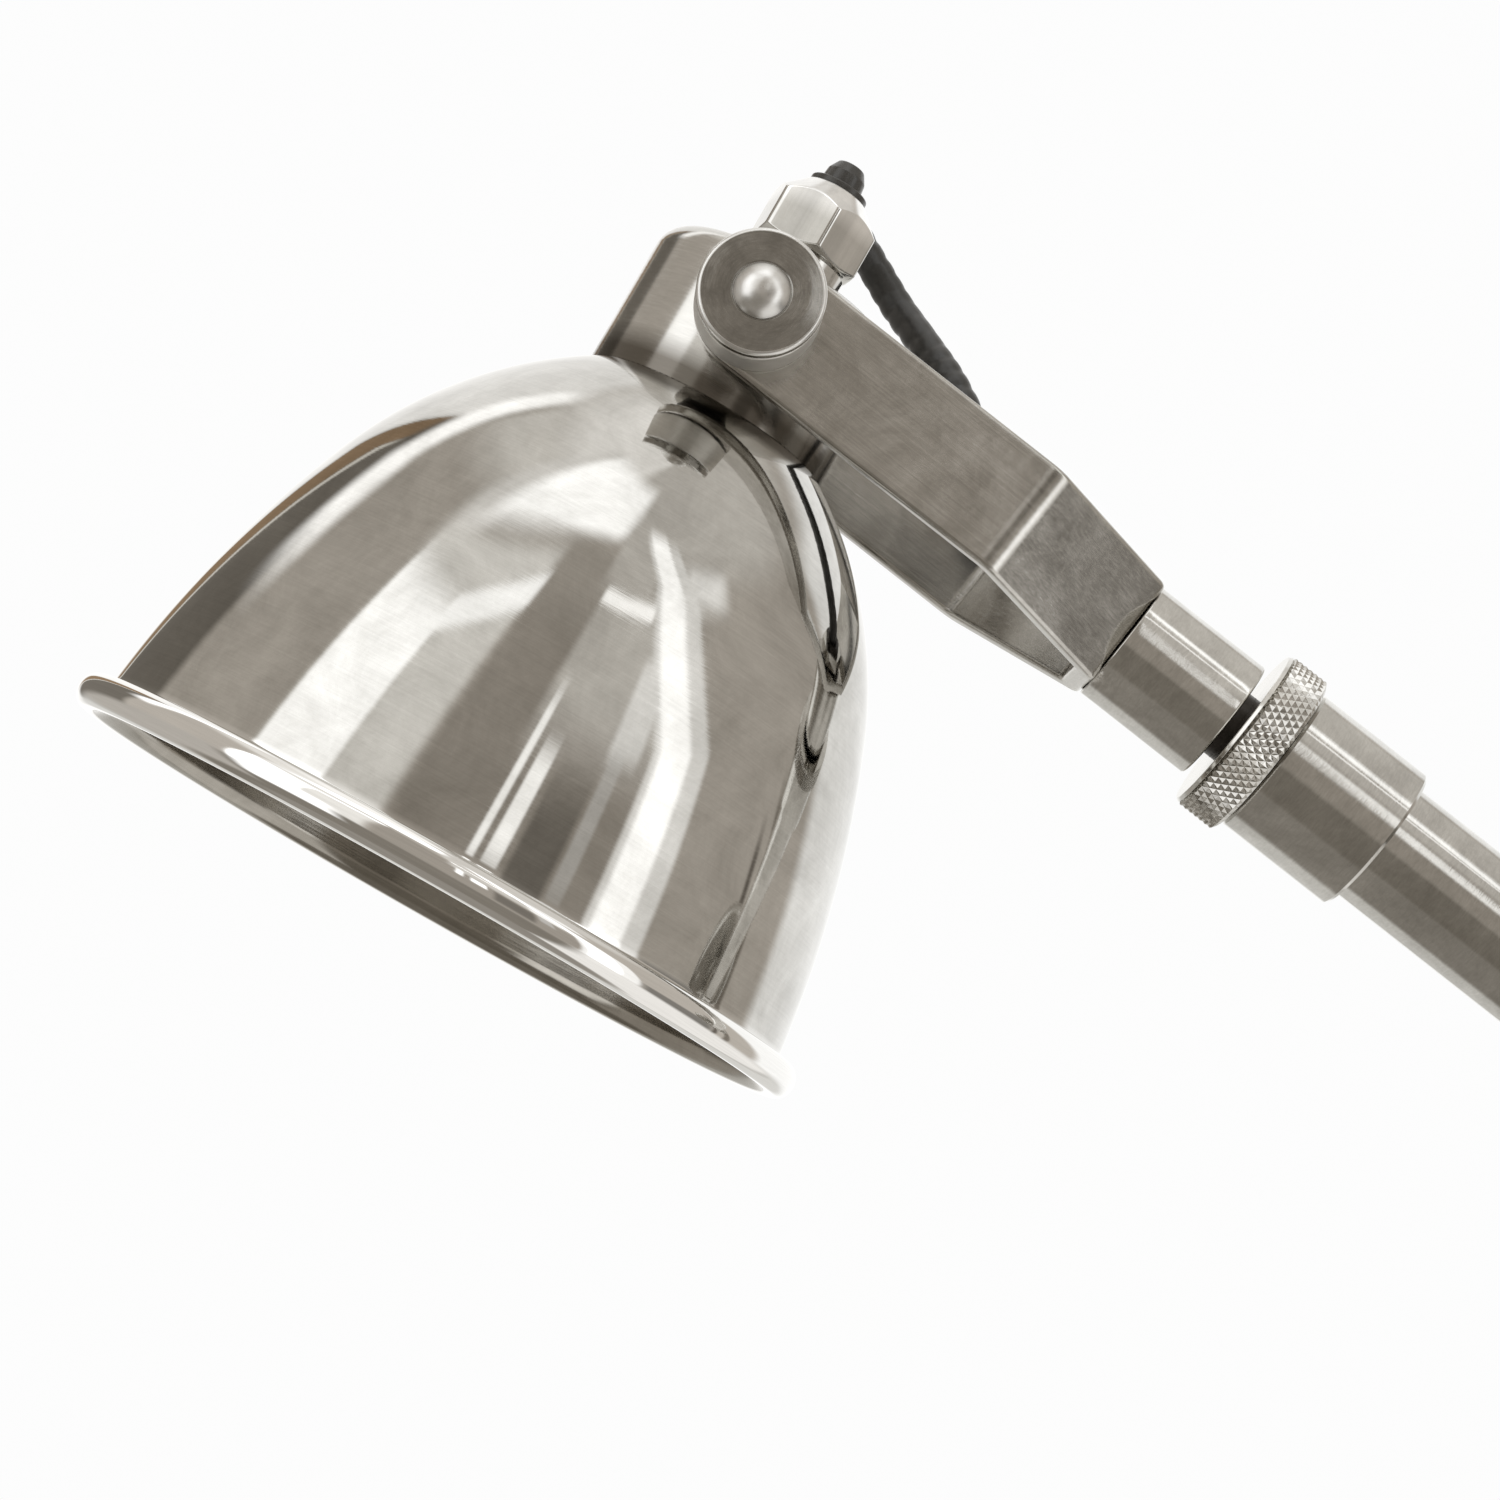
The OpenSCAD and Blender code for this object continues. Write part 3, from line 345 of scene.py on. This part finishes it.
def makeWorld():
    world = bpy.data.worlds.new("studioWorld")
    scene.world = world
    world.use_nodes = True
    tree = world.node_tree
    tree.nodes.clear()
    inputs = {"Vector": addNode(tree, "ShaderNodeTexCoord").outputs["Generated"], "Rotation": (0, shadeLean, 0)}
    own = addNode(tree, "ShaderNodeMapping", inputs, vector_type="TEXTURE").outputs["Vector"]
    parts = addNode(tree, "ShaderNodeSeparateXYZ", {"Vector": own}).outputs
    front = maths(tree, "MULTIPLY", parts["Y"], -1.0)
    az = maths(tree, "DEGREES", maths(tree, "ARCTAN2", parts["X"], front))
    el = maths(tree, "DEGREES", maths(tree, "ARCSINE", parts["Z"]))
    shown = solid(studio["room"])
    for card in cards.values():
        shown = mixed(tree, cardMask(tree, az, el, card), shown, solid(card["tone"]))
    path = addNode(tree, "ShaderNodeLightPath").outputs
    seen = maths(tree, "MAXIMUM", path["Is Camera Ray"], path["Is Transmission Ray"])
    plain = addNode(tree, "ShaderNodeBackground", {"Color": solid([studio["white"]] * 3), "Strength": 1.0}).outputs[0]
    lit = addNode(tree, "ShaderNodeBackground", {"Color": shown, "Strength": 1.0}).outputs[0]
    mix = addNode(tree, "ShaderNodeMixShader", {0: seen, 1: lit, 2: plain}).outputs[0]
    addNode(tree, "ShaderNodeOutputWorld", {"Surface": mix})
    print("world ready,", len(cards), "cards")


# floor: a disc well under the lamp, in metres; it fades between a clear radius and a share of its own
floorPlan = {"middle": (-0.25, 0.0, -0.42), "radius": 1.5, "hole": 0.001, "clear": 0.45, "fadeShare": 0.95,
             "tone": (0.86, 0.86, 0.85), "roughness": 0.9, "rings": 12, "turns": 64}


def makeFloor():
    # round its middle the disc takes the shadow, it runs out to the background's white, and glossy rays pass it
    f = floorPlan
    x, y, height = f["middle"]
    r = np.linspace(f["hole"], f["radius"], f["rings"])[:, None]
    t = np.linspace(0, 2 * np.pi, f["turns"], endpoint=False)[None, :]
    points = np.stack([r * np.cos(t) + x, r * np.sin(t) + y, np.full((f["rings"], f["turns"]), height)], -1)
    floor = gridObject("studioFloor", points, wrapTurns=True)
    material, tree, shader = newMaterial("paleFloor")
    shader.inputs["Base Color"].default_value = solid(f["tone"])
    shader.inputs["Roughness"].default_value = f["roughness"]
    local = addNode(tree, "ShaderNodeTexCoord").outputs["Object"]
    fromMiddle = vectorMaths(tree, "ADD", {0: local, 1: (-x, -y, -height)})
    away = vectorMaths(tree, "LENGTH", {0: fromMiddle}, "Value")
    fade = spanned(tree, away, (f["clear"], f["radius"] * f["fadeShare"]), interpolation_type="SMOOTHSTEP")
    white = addNode(tree, "ShaderNodeEmission", {"Color": solid([studio["white"]] * 3), "Strength": 1.0}).outputs[0]
    mix = addNode(tree, "ShaderNodeMixShader", {0: fade, 1: shader.outputs[0], 2: white}).outputs[0]
    glossy = addNode(tree, "ShaderNodeLightPath").outputs["Is Glossy Ray"]
    clear = addNode(tree, "ShaderNodeBsdfTransparent").outputs[0]
    shown = addNode(tree, "ShaderNodeMixShader", {0: glossy, 1: mix, 2: clear}).outputs[0]
    tree.links.new(shown, tree.nodes["Material Output"].inputs["Surface"])
    floor.data.materials.append(material)
    print("floor ready")


makeCamera()
makeWorld()
makeFloor()

# each finish is tied to the axis of the pieces that wear it: a point on it, its turn and the way across the brush lines
shadeAxis, armAxis, armUp = (tuple(map(float, axis)) for axis in (shadeAxes[:, 2], armAxes[:, 0], armAxes[:, 2]))
spot, quarter = tuple(map(float, pivot)), math.pi / 2
onShade = {"centre": spot, "turn": (0, shadeLean, 0), "across": shadeAxis}
onKnob = {"centre": spot, "turn": (quarter, 0, 0), "across": (0, 1, 0)}
onFork = {"centre": spot, "turn": (0, armSlope, 0), "across": armUp}
onArm = {"centre": spot, "turn": (0, armSlope + quarter, 0), "across": armAxis}
onWall = {"centre": (0, 0, 0), "turn": (0, -quarter, 0), "across": (1, 0, 0)}
warm = ((0.555, 0.541, 0.51), (0.66, 0.646, 0.612))
# metals: a dark and a light tone, how far the lines darken it, and in some a band from a height to a height that
# holds painted highlight (shade's rim, nut's cone) or painted shade (neck's foot); on the rim it is also polish
nickelLooks = {
    # the shade: its rolled rim is lighter from one height down, polish and a painted highlight
    "shadeNickel": {
        **onShade, "grain": "round", "lineScale": (5.0, 2600.0), "cloudScale": 60.0,
        "tones": ((0.47, 0.457, 0.428), (0.7, 0.687, 0.655)), "lineTone": 0.1, "roughness": (0.01, 0.08),
        "stretch": 0.45, "bump": 0.012, "paintedLightAndPolish": (-0.1132, -0.1148, (0.9, 0.89, 0.87))},
    # the shade's inside: a darker, duller copy of the nickel, painted shade in the hollow
    "liningPaintedShade": {
        **onShade, "grain": "round", "lineScale": (5.0, 2200.0), "cloudScale": 45.0,
        "tones": ((0.33, 0.308, 0.27), (0.48, 0.455, 0.41)), "lineTone": 0.15, "roughness": (0.1, 0.22),
        "stretch": 0.3, "bump": 0.05},
    # the knob's button and the face's edge fillet: a lighter copy of the nickel, painted highlight
    "paintedHighlightNickel": {
        **onKnob, "grain": "round", "lineScale": (4.0, 2600.0), "cloudScale": 70.0,
        "tones": ((0.68, 0.67, 0.645), (0.8, 0.79, 0.765)), "lineTone": 0.06, "roughness": (0.26, 0.36),
        "stretch": 0.0, "bump": 0.02},
    # neck: darker towards its foot, painted shade in the crease against the shade
    "neckNickel": {
        **onShade, "grain": "round", "lineScale": (6.0, 3000.0), "cloudScale": 50.0,
        "tones": warm, "lineTone": 0.1, "roughness": (0.1, 0.22),
        "stretch": 0.6, "bump": 0.06, "paintedLightAndPolish": (-0.0095, -0.0145, (0.16, 0.145, 0.125))},
    # nut: lighter on its top cone, painted highlight
    "nutNickel": {
        **onShade, "grain": "along", "lineScale": (170.0, 170.0, 8.0), "cloudScale": 70.0,
        "tones": ((0.6, 0.587, 0.555), (0.74, 0.727, 0.695)), "lineTone": 0.28, "roughness": (0.06, 0.14),
        "stretch": 0.3, "bump": 0.03, "paintedLightAndPolish": (0.0262, 0.0292, (0.95, 0.94, 0.92))},
    # knob skirt: a lighter, rougher copy of the nickel, painted light so its reflection in the shade reads light
    "skirtPaintedLightNickel": {
        **onKnob, "grain": "round", "lineScale": (4.0, 3600.0), "cloudScale": 70.0,
        "tones": ((0.68, 0.665, 0.63), (0.82, 0.804, 0.77)), "lineTone": 0.1, "roughness": (0.42, 0.56),
        "stretch": 0.2, "bump": 0.04},
    # knob faces: a darker copy of the nickel, painted shade
    "knobPaintedShadeNickel": {
        **onKnob, "grain": "round", "lineScale": (4.0, 3600.0), "cloudScale": 70.0,
        "tones": ((0.27, 0.259, 0.237), (0.55, 0.535, 0.503)), "lineTone": 0.18, "roughness": (0.1, 0.22),
        "stretch": 0.4, "bump": 0.05},
    "forkNickel": {
        **onFork, "grain": "along", "lineScale": (40.0, 900.0, 2600.0), "cloudScale": 60.0,
        "tones": ((0.4, 0.382, 0.348), (0.71, 0.692, 0.655)), "lineTone": 0.12, "roughness": (0.15, 0.28),
        "stretch": 0.4, "bump": 0.03},
    "armNickel": {
        **onArm, "grain": "round", "lineScale": (7.0, 2600.0), "cloudScale": 60.0,
        "tones": ((0.5, 0.486, 0.456), (0.78, 0.765, 0.73)), "lineTone": 0.14, "roughness": (0.04, 0.15),
        "stretch": 0.6, "bump": 0.05},
    "wallNickel": {
        **onWall, "grain": "round", "lineScale": (6.0, 2600.0), "cloudScale": 40.0,
        "tones": warm, "lineTone": 0.14, "roughness": (0.18, 0.28),
        "stretch": 0.5, "bump": 0.06},
    "darkSteel": {
        **onArm, "grain": "round", "lineScale": (7.0, 2600.0), "cloudScale": 90.0,
        "tones": ((0.045, 0.041, 0.037), (0.09, 0.083, 0.076)), "lineTone": 0.2, "roughness": (0.28, 0.42),
        "stretch": 0.3, "bump": 0.1},
    "capBrass": {
        **onShade, "grain": "round", "lineScale": (6.0, 2200.0), "cloudScale": 120.0,
        "tones": ((0.6, 0.43, 0.2), (0.78, 0.6, 0.33)), "lineTone": 0.2, "roughness": (0.22, 0.34),
        "stretch": 0.3, "bump": 0.1},
}
plainLooks = {
    "blackRubber": {"grain": 700.0, "tones": ((0.024, 0.023, 0.021), (0.052, 0.05, 0.046)),
                    "roughness": (0.3, 0.44), "bump": 0.15},
    "blackPlastic": {"grain": 500.0, "tones": ((0.035, 0.033, 0.03), (0.07, 0.066, 0.06)),
                     "roughness": (0.22, 0.34), "bump": 0.1},
    "ivoryPlastic": {"grain": 260.0, "tones": ((0.78, 0.74, 0.63), (0.84, 0.8, 0.7)),
                     "roughness": (0.2, 0.3), "bump": 0.04},
    "whitePlastic": {"grain": 300.0, "tones": ((0.74, 0.74, 0.72), (0.8, 0.8, 0.78)),
                     "roughness": (0.4, 0.5), "bump": 0.08},
    "opalGlass": {"grain": 180.0, "tones": ((0.84, 0.84, 0.82), (0.88, 0.88, 0.86)),
                  "roughness": (0.12, 0.18), "bump": 0.01},
}
finishes = {name: nickel(name, look) for name, look in nickelLooks.items()}
finishes.update((name, plainSurface(name, look)) for name, look in plainLooks.items())

# which nodes wear which finish
worn = {
    "shadeNickel": ["shade_crown", "shade_shoulder", "shade_side", "shade_rim", "shade_ring"],
    "neckNickel": ["neck_cup", "gland_stub", "gland_nut"],
    "knobPaintedShadeNickel": ["knob_near", "knob_far"],
    "forkNickel": ["fork"],
    "armNickel": ["hub", "hub_nut", "lock_ring", "head_collar", "arm_tube", "arm_foot"],
    "wallNickel": ["tilt_knob", "swing_knuckle", "wall_boss", "wall_plate", "plate_screws", "switch_nut", "switch_lever"],
    "darkSteel": ["trunnion_near", "trunnion_far", "hub_washer", "spindle", "tilt_bolt", "swing_pin", "boss_nut",
                  "mounting_bar"],
    "capBrass": ["bulb_cap"],
    "blackRubber": ["flex"],
    "blackPlastic": ["cable_elbow", "switch_body"],
    "ivoryPlastic": ["lampholder"],
    "whitePlastic": ["terminal_block"],
    "opalGlass": ["bulb_glass"],
}
for finish, names in worn.items():
    for name in names:
        nodes[name].data.materials.clear()
        nodes[name].data.materials.append(finishes[finish])
print("finishes on", sum(map(len, worn.values())), "nodes")


def place(piece, body, finish, slotName, *stoodFor):
    # a finished piece: what it moves with, what it wears and which nodes it stands for
    if body:
        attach(piece, body)
    piece.data.materials.append(finishes[finish])
    if stoodFor:
        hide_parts(*stoodFor)
    print(piece.name, "placed,", len(piece.data.polygons), "faces")


def wearRows(piece, finish, bands, turns):
    # one more finish, on the faces of a grid that lie in bands of rows
    mesh = piece.data
    mesh.materials.append(finishes[finish])
    chosen = np.zeros(len(mesh.polygons), np.int32)
    mesh.polygons.foreach_get("material_index", chosen)
    for first, last in bands:
        chosen[first * turns:last * turns] = len(mesh.materials) - 1
    mesh.polygons.foreach_set("material_index", chosen)


# shade: one spun sheet with a seat under the neck, a crown, a long side and a rim rolled outwards; angles in degrees.
# "brightRows" is how far up the inside the outer finish goes on from the roll
shadeSheet = {"rim": 150.0, "height": 101.0, "sheet": 1.2, "bead": 2.5, "tall": 3.2, "raised": 0.6, "rimWidth": 6.2,
              "lip": 0.4, "crown": 84.0, "crownFrom": 34.0, "crownTo": 68.5, "neck": 24.8, "hole": 19.52, "seat": -17.4,
              "seatGap": 0.4, "brightRows": 5, "outerSteps": (80, 70), "rollSteps": (16, 48, 22), "innerSteps": (40, 50),
              "turns": 288}


def makeShade():
    # the outer line is followed down from the neck and the inner line back up, then the loop is turned about the axis
    s = shadeSheet
    roll = np.array([1, s["tall"] / s["bead"]])
    bead = np.array([s["rim"] / 2 - s["bead"], s["seat"] - s["height"] + s["raised"]])
    inside = s["rim"] / 2 - s["rimWidth"]
    curl = np.array([inside + s["bead"], bead[1]])
    foot = np.array([inside + s["sheet"], bead[1] + s["tall"] + s["lip"]])
    # the side's circle touches the crown's where they join and passes through the foot
    a, b = math.radians(s["crownFrom"]), math.radians(s["crownTo"])
    crown = np.array([s["neck"], s["seat"]]) - s["crown"] * np.array([math.sin(a), math.cos(a)])
    out = np.array([math.sin(b), math.cos(b)])
    joint = crown + s["crown"] * out
    sideRadius = -((foot - joint) @ (foot - joint)) / (2 * out @ (foot - joint))
    side = joint - sideRadius * out
    sideTo = math.degrees(math.atan2(foot[0] - side[0], foot[1] - side[1]))
    under = s["seat"] - s["sheet"]
    innerFrom = math.degrees(math.acos((under - crown[1]) / (s["crown"] - s["sheet"])))
    # the sheet's outside meets the roll in a sharp crease
    crease = math.degrees(math.asin((foot[0] - curl[0]) / s["bead"]))
    seat = np.array([[s["hole"], under], [s["hole"], s["seat"]], [s["neck"] - s["seatGap"], s["seat"]]])
    crownSteps, sideSteps = s["outerSteps"]
    outside = [seat, arcPoints(crown, s["crown"], s["crownFrom"], s["crownTo"], crownSteps)[:-1],
               arcPoints(side, sideRadius, s["crownTo"], sideTo, sideSteps)]
    turned = [(curl, crease, 0), (bead, 0, 180), (curl, 180, 270)]
    rolled = [centre + arcPoints((0, 0), s["bead"], start, end, steps) * roll
              for (centre, start, end), steps in zip(turned, s["rollSteps"])]
    sideSteps, crownSteps = s["innerSteps"]
    lining = [arcPoints(side, sideRadius - s["sheet"], sideTo, s["crownTo"], sideSteps)[:-1],
              arcPoints(crown, s["crown"] - s["sheet"], s["crownTo"], innerFrom, crownSteps)]
    loop = np.concatenate(outside + rolled + lining)
    shell = revolved("shadeShell", loop[::-1], shadeAxes, pivot, s["turns"], closed=True)
    place(shell, "head", "shadeNickel", "satin_nickel", "shade_crown", "shade_shoulder", "shade_side", "shade_rim")
    linedRows = sum(len(part) for part in rolled[2:] + lining) - s["brightRows"]
    # the inside, short of the roll's last rows, wears the darker copy of the nickel: painted shade in the hollow
    wearRows(shell, "liningPaintedShade", [(0, linedRows)], s["turns"])


# clamp knobs: half section corners as radius, height and fillet, then the button's radius and rise; "skirt" and
# "paintedRimHighlight" are bands of the section's rows: the skirt wears a lighter, rougher copy of the nickel, painted
# light so its reflection in the shade reads light, and the face's edge fillet a painted highlight. Each seat is a name,
# a middle, which way it looks, a body and a node
knobTurning = {"corners": [(0.4, 10.0, 0), (4.05, 10.0, 0.2), (4.05, 0.0, 0.3), (11.65, 0.0, 0.7), (11.65, 9.6, 0.5),
                           (10.45, 9.6, 0.15), (10.45, 10.2, 0.15), (11.65, 10.2, 0.3), (11.65, 12.6, 0.85),
                           (8.8, 12.9, 12.0), (5.5, 13.0, 0.2), (5.2, 12.85, 0.1), (5.1, 13.0, 0)],
               "button": (5.1, 2.7), "top": 13.0, "capEnd": 0.6, "skirt": (30, 58), "paintedRimHighlight": (97, 104),
               "sideSteps": 6, "capSteps": 26, "turns": 144}
knobSeats = [("knobNearTurned", pivot + (0, -0.030, 0), 1, "clamp_near", "knob_near"),
             ("knobFarTurned", pivot + (0, 0.030, 0), -1, "clamp_far", "knob_far"),
             ("knobTiltTurned", (-0.088, -0.0116, 0), 1, "tilt_clamp", "tilt_knob")]


def makeKnob(name, middle, towards, body, node):
    # the corners are joined by fillets, and the button is the cap of a ball on top
    k = knobTurning
    radius, rise = k["button"]
    ball = (radius ** 2 + rise ** 2) / (2 * rise)
    capFrom = math.degrees(math.asin(radius / ball))
    cap = arcPoints((0, k["top"] + rise - ball), ball, capFrom, k["capEnd"], k["capSteps"])[1:]
    axes = np.array([[1, 0, 0], [0, 0, -towards], [0, towards, 0]], float)
    section = roundedPath(k["corners"], k["sideSteps"])
    knob = revolved(name, np.concatenate([section, cap]), axes, middle, k["turns"])
    # the knob wears a darker copy of the nickel: painted shade
    place(knob, body, "knobPaintedShadeNickel", "satin_nickel", node)
    # painted light on the skirt: a lighter, rougher copy of the nickel
    wearRows(knob, "skirtPaintedLightNickel", [k["skirt"]], k["turns"])
    # painted highlight on the face's edge fillet and the button
    wearRows(knob, "paintedHighlightNickel", [k["paintedRimHighlight"], (len(section) - 1, len(section) + len(cap))], k["turns"])


# gland nut: six flats with soft corners, cut by a low cone (foot radius, top, top radius) and a tall one (foot, tip, tip
# radius); "edge" is the power that keeps the corners crisp
nutCut = {"flats": 20.0, "turn": -17.0, "foot": 20.0, "low": (9.7, 1.644, 12.547), "high": (8.027, 14.4, 6.0),
          "soft": 0.07, "edge": 40, "rows": 100, "turns": 432}


def makeGlandNut():
    # radius = smooth least of the hexagon, whose soft corners come from a power sum of its six faces, and the two cones
    n = nutCut
    lowRadius, lowTop, wide = n["low"]
    highFoot, tip, mouth = n["high"]
    z = np.linspace(0, tip, n["rows"])[:, None]
    t = np.linspace(0, 2 * np.pi, n["turns"], endpoint=False)[None, :]
    faces = np.radians(n["turn"] + 30 + 60 * np.arange(6))[:, None, None]
    towards = (np.maximum(np.cos(t - faces), 0) ** n["edge"]).sum(0) ** (1 / n["edge"])
    hexagon = n["flats"] / 2 / towards + 0 * z
    low = lowRadius + (wide - lowRadius) * z / lowTop + 0 * t
    high = wide + (mouth - wide) * (z - highFoot) / (tip - highFoot) + 0 * t
    r = -n["soft"] * np.log(sum(np.exp(-edge / n["soft"]) for edge in (hexagon, low, high)))
    own = np.stack([r * np.cos(t), r * np.sin(t), z + n["foot"] + 0 * t], -1) * mm
    nut = gridObject("glandNutCut", pivot + own @ shadeAxes.T, wrapTurns=True, poles=True)
    place(nut, "head", "nutNickel", "satin_nickel", "gland_nut")


# cable elbow: a round block on a thin lip, with an outlet to the back; corners are radius, height and fillet
elbowMould = {"foot": 34.4, "height": 36.7, "turns": 96,
              "block": [(0.4, 0.0, 0), (5.9, 0.0, 0.15), (5.9, 1.2, 0.35), (4.2, 1.3, 0.3), (3.9, 3.9, 0.9),
                        (2.7, 6.0, 0.6), (0.4, 6.0, 0)],
              "outlet": [(0.4, -1.0, 0), (3.5, -1.0, 0.3), (3.5, 7.0, 0.5), (0.4, 7.0, 0)]}


def makeElbow():
    # both forms are half sections turned about their own axes, one up the shade's axis and one to the far side
    e = elbowMould
    foot, middle = (pivot + shadeAxes[:, 2] * e[level] * mm for level in ("foot", "height"))
    block = revolved("elbowBlock", roundedPath(e["block"]), shadeAxes, foot, e["turns"])
    place(block, "head", "blackPlastic", "black_plastic", "cable_elbow")
    back = np.array([[1, 0, 0], [0, 0, 1], [0, -1, 0]], float)
    outlet = revolved("elbowOutlet", roundedPath(e["outlet"]), back, middle, e["turns"])
    place(outlet, "head", "blackPlastic", "black_plastic")


# fork: strap corners as distance down the arm, distance from its middle and fillet, then the strap's width and its edge,
# which is at most a share of the half thickness
forkStrap = {"outer": [(-11.42, 29.7, 0), (61.5, 29.7, 8.0), (89.5, 9.51, 2.4), (89.5, 0.0, 0)],
             "inner": [(-11.42, 26.1, 0), (60.33, 26.1, 4.4), (85.1, 8.2, 1.4), (85.1, 0.0, 0)],
             "halfWidth": 11.45, "edge": 0.95, "edgeShare": 0.8, "sideSteps": 64, "bendSteps": 12}


def makeFork():
    # a rounded rectangle carried along the strap: its middle and thickness come from the outer and inner lines, and the
    # width follows a circle round each end
    f = forkStrap
    outer, inner = (roundedPath(f[line], f["sideSteps"], f["bendSteps"]) for line in ("outer", "inner"))
    outer, inner = (np.concatenate([line * (1, -1), line[-2::-1]]) for line in (outer, inner))
    centre, thick = (outer + inner) / 2, np.linalg.norm(outer - inner, axis=1)[:, None] / 2
    normal = (outer - inner) / (2 * thick)
    width = np.sqrt(f["halfWidth"] ** 2 - np.minimum(centre[:, :1], 0) ** 2)
    edge = np.minimum(f["edge"], f["edgeShare"] * np.minimum(thick, width))
    # the rectangle's first half, each run as shares of thickness and width and of the edge's bow on both
    flat, rim = np.array([-1, -0.97, -0.8, -0.3, 0.3, 0.8, 0.97, 1]), np.array([1, 0.6, 0, -0.6, -1])
    bow = np.radians(np.arange(15, 90, 15))
    runs = [(1, flat, 1, 0), (1, 1, np.cos(bow), np.sin(bow)), (rim, 1, 0, 1), (-1, 1, -np.sin(bow), np.cos(bow))]
    half = np.concatenate([np.stack(np.broadcast_arrays(*run)) for run in runs], 1)
    acrossAt, widthAt, acrossBow, widthBow = np.concatenate([half, -half], 1)[:, None, :]
    out = acrossAt * (thick - edge) + acrossBow * edge
    wide = -(widthAt * (width - edge) + widthBow * edge)
    own = np.stack([centre[:, :1] + normal[:, :1] * out, centre[:, 1:] + normal[:, 1:] * out, wide], -1) * mm
    strap = gridObject("forkStrap", pivot + own @ armAxes.T, wrapTurns=True, poles=True)
    place(strap, "yoke", "forkNickel", "satin_nickel", "fork")


# hub and the lock ring's front lip: half sections about the arm's axis, as radius, distance down the arm and fillet
armTurnings = {
    "hubTurned": {"body": "yoke", "stoodFor": ["hub"], "turns": 192, "corners": [
        (7.05, 101.0, 0), (7.05, 89.5, 0.2), (12.5, 89.5, 0.3), (12.5, 114.0, 0.6), (7.05, 114.0, 0.3),
        (7.05, 102.0, 0)]},
    "lockRingLip": {"body": "ring", "stoodFor": [], "turns": 192, "corners": [
        (7.05, 116.3, 0), (7.05, 116.0, 0.2), (16.8, 116.0, 0.3), (17.3, 116.75, 0.05), (7.05, 116.75, 0.05),
        (7.05, 116.5, 0)]},
}


def makeArmTurnings():
    # each half section is a closed loop of straight sides and fillets turned about the arm's axis
    for name, turning in armTurnings.items():
        loop = roundedPath(turning["corners"])
        piece = revolved(name, loop, armAxes[:, [1, 2, 0]], pivot, turning["turns"], closed=True)
        place(piece, turning["body"], "armNickel", "satin_nickel", *turning["stoodFor"])


# flex: its route from the elbow to the hollow spindle, from the pivot. Its wrinkles have a depth and a pitch; "sway" and
# "twist" make them uneven, "oneSided" fades them round the flex (share or angle, then run), and they start and end
# smoothly. "held" is points of the route that stay straight at each end, "stiff" and "cordStep" are points of the curve
flexRun = {"route": [(17.9, 7, 32), (17.9, 8.2, 32), (17.9, 9.4, 32), (19.1, 15, 31.1), (22.4, 21.4, 27.6),
                     (26.8, 25.4, 21.6), (31.1, 24.9, 14.1), (35.6, 18.3, 5.1), (40.2, 11.5, -4.6), (45.2, 6, -18),
                     (49.8, 1.5, -31.6), (55, 0.4, -42.1), (58.6, 0, -46.1), (62.5, 0, -49.2)],
           "from": (17.904, 7.02, 32.036), "to": (62.476, 0, -49.163), "held": 2, "diameter": 6.6, "between": 24,
           "wrinkle": 0.27, "pitch": 4.3, "sway": (1.1, 4.3), "twist": (0.5, 6), "oneSided": (0.4, 9),
           "smoothEnds": (6, 12), "stiff": 12, "cordStep": 9, "turns": 40}


def makeFlex():
    # a smooth curve through the points, then a round tube along it whose skin is drawn into shallow cross wrinkles
    x = flexRun
    p = np.array(x["route"], float)
    last = len(p) - 1
    w = np.clip((np.arange(last + 1) - x["held"]) / (last - 2 * x["held"]), 0, 1)[:, None]
    p = p + (1 - w) * (np.array(x["from"]) - p[0]) + w * (np.array(x["to"]) - p[-1])
    i, t = np.arange(last)[:, None], (np.arange(x["between"]) / x["between"])[None, :, None]
    a, b, c, d = (p[np.clip(i + step, 0, last)] for step in (-1, 0, 1, 2))
    curve = 0.5 * (2 * b + (c - a) * t + (2 * a - 5 * b + 4 * c - d) * t ** 2 + (3 * b - a - 3 * c + d) * t ** 3)
    line = np.concatenate([curve.reshape(-1, 3), p[-1:]])
    along = np.gradient(line, axis=0)
    along /= np.linalg.norm(along, axis=1, keepdims=True)
    run = np.concatenate([[0], np.cumsum(np.linalg.norm(np.diff(line, axis=0), axis=1))])[:, None]
    side = armAxes[:, 2] - along * (along @ armAxes[:, 2])[:, None]
    side /= np.linalg.norm(side, axis=1, keepdims=True)
    other = np.cross(along, side)
    turn = np.linspace(0, 2 * np.pi, x["turns"], endpoint=False)[None, :]
    (sway, swayRun), (twist, twistRun), (fade, fadeRun) = x["sway"], x["twist"], x["oneSided"]
    phase = 2 * np.pi * run / x["pitch"] + sway * np.sin(run / swayRun) + twist * np.sin(2 * turn + run / twistRun)
    smoothStart, smoothEnd = x["smoothEnds"]
    hold = np.clip(run / smoothStart, 0, 1) * np.clip((run[-1] - run) / smoothEnd, 0, 1)
    depth = x["wrinkle"] * hold * (0.5 + 0.5 * np.sin(phase)) ** 2 * (1 - fade + fade * np.sin(turn + run / fadeRun))
    r = (x["diameter"] / 2 - depth)[..., None]
    points = line[:, None] + r * (np.cos(turn)[..., None] * side[:, None] + np.sin(turn)[..., None] * other[:, None])
    flex = gridObject("flexSkin", pivot + points * mm, wrapTurns=True, poles=True)
    place(flex, None, "blackRubber", "black_rubber", "flex")
    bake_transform(flex)


makeFlex()
makeShade()
for knobSeat in knobSeats:
    makeKnob(*knobSeat)
makeGlandNut()
makeElbow()
makeFork()
makeArmTurnings()
print("pieces ready")
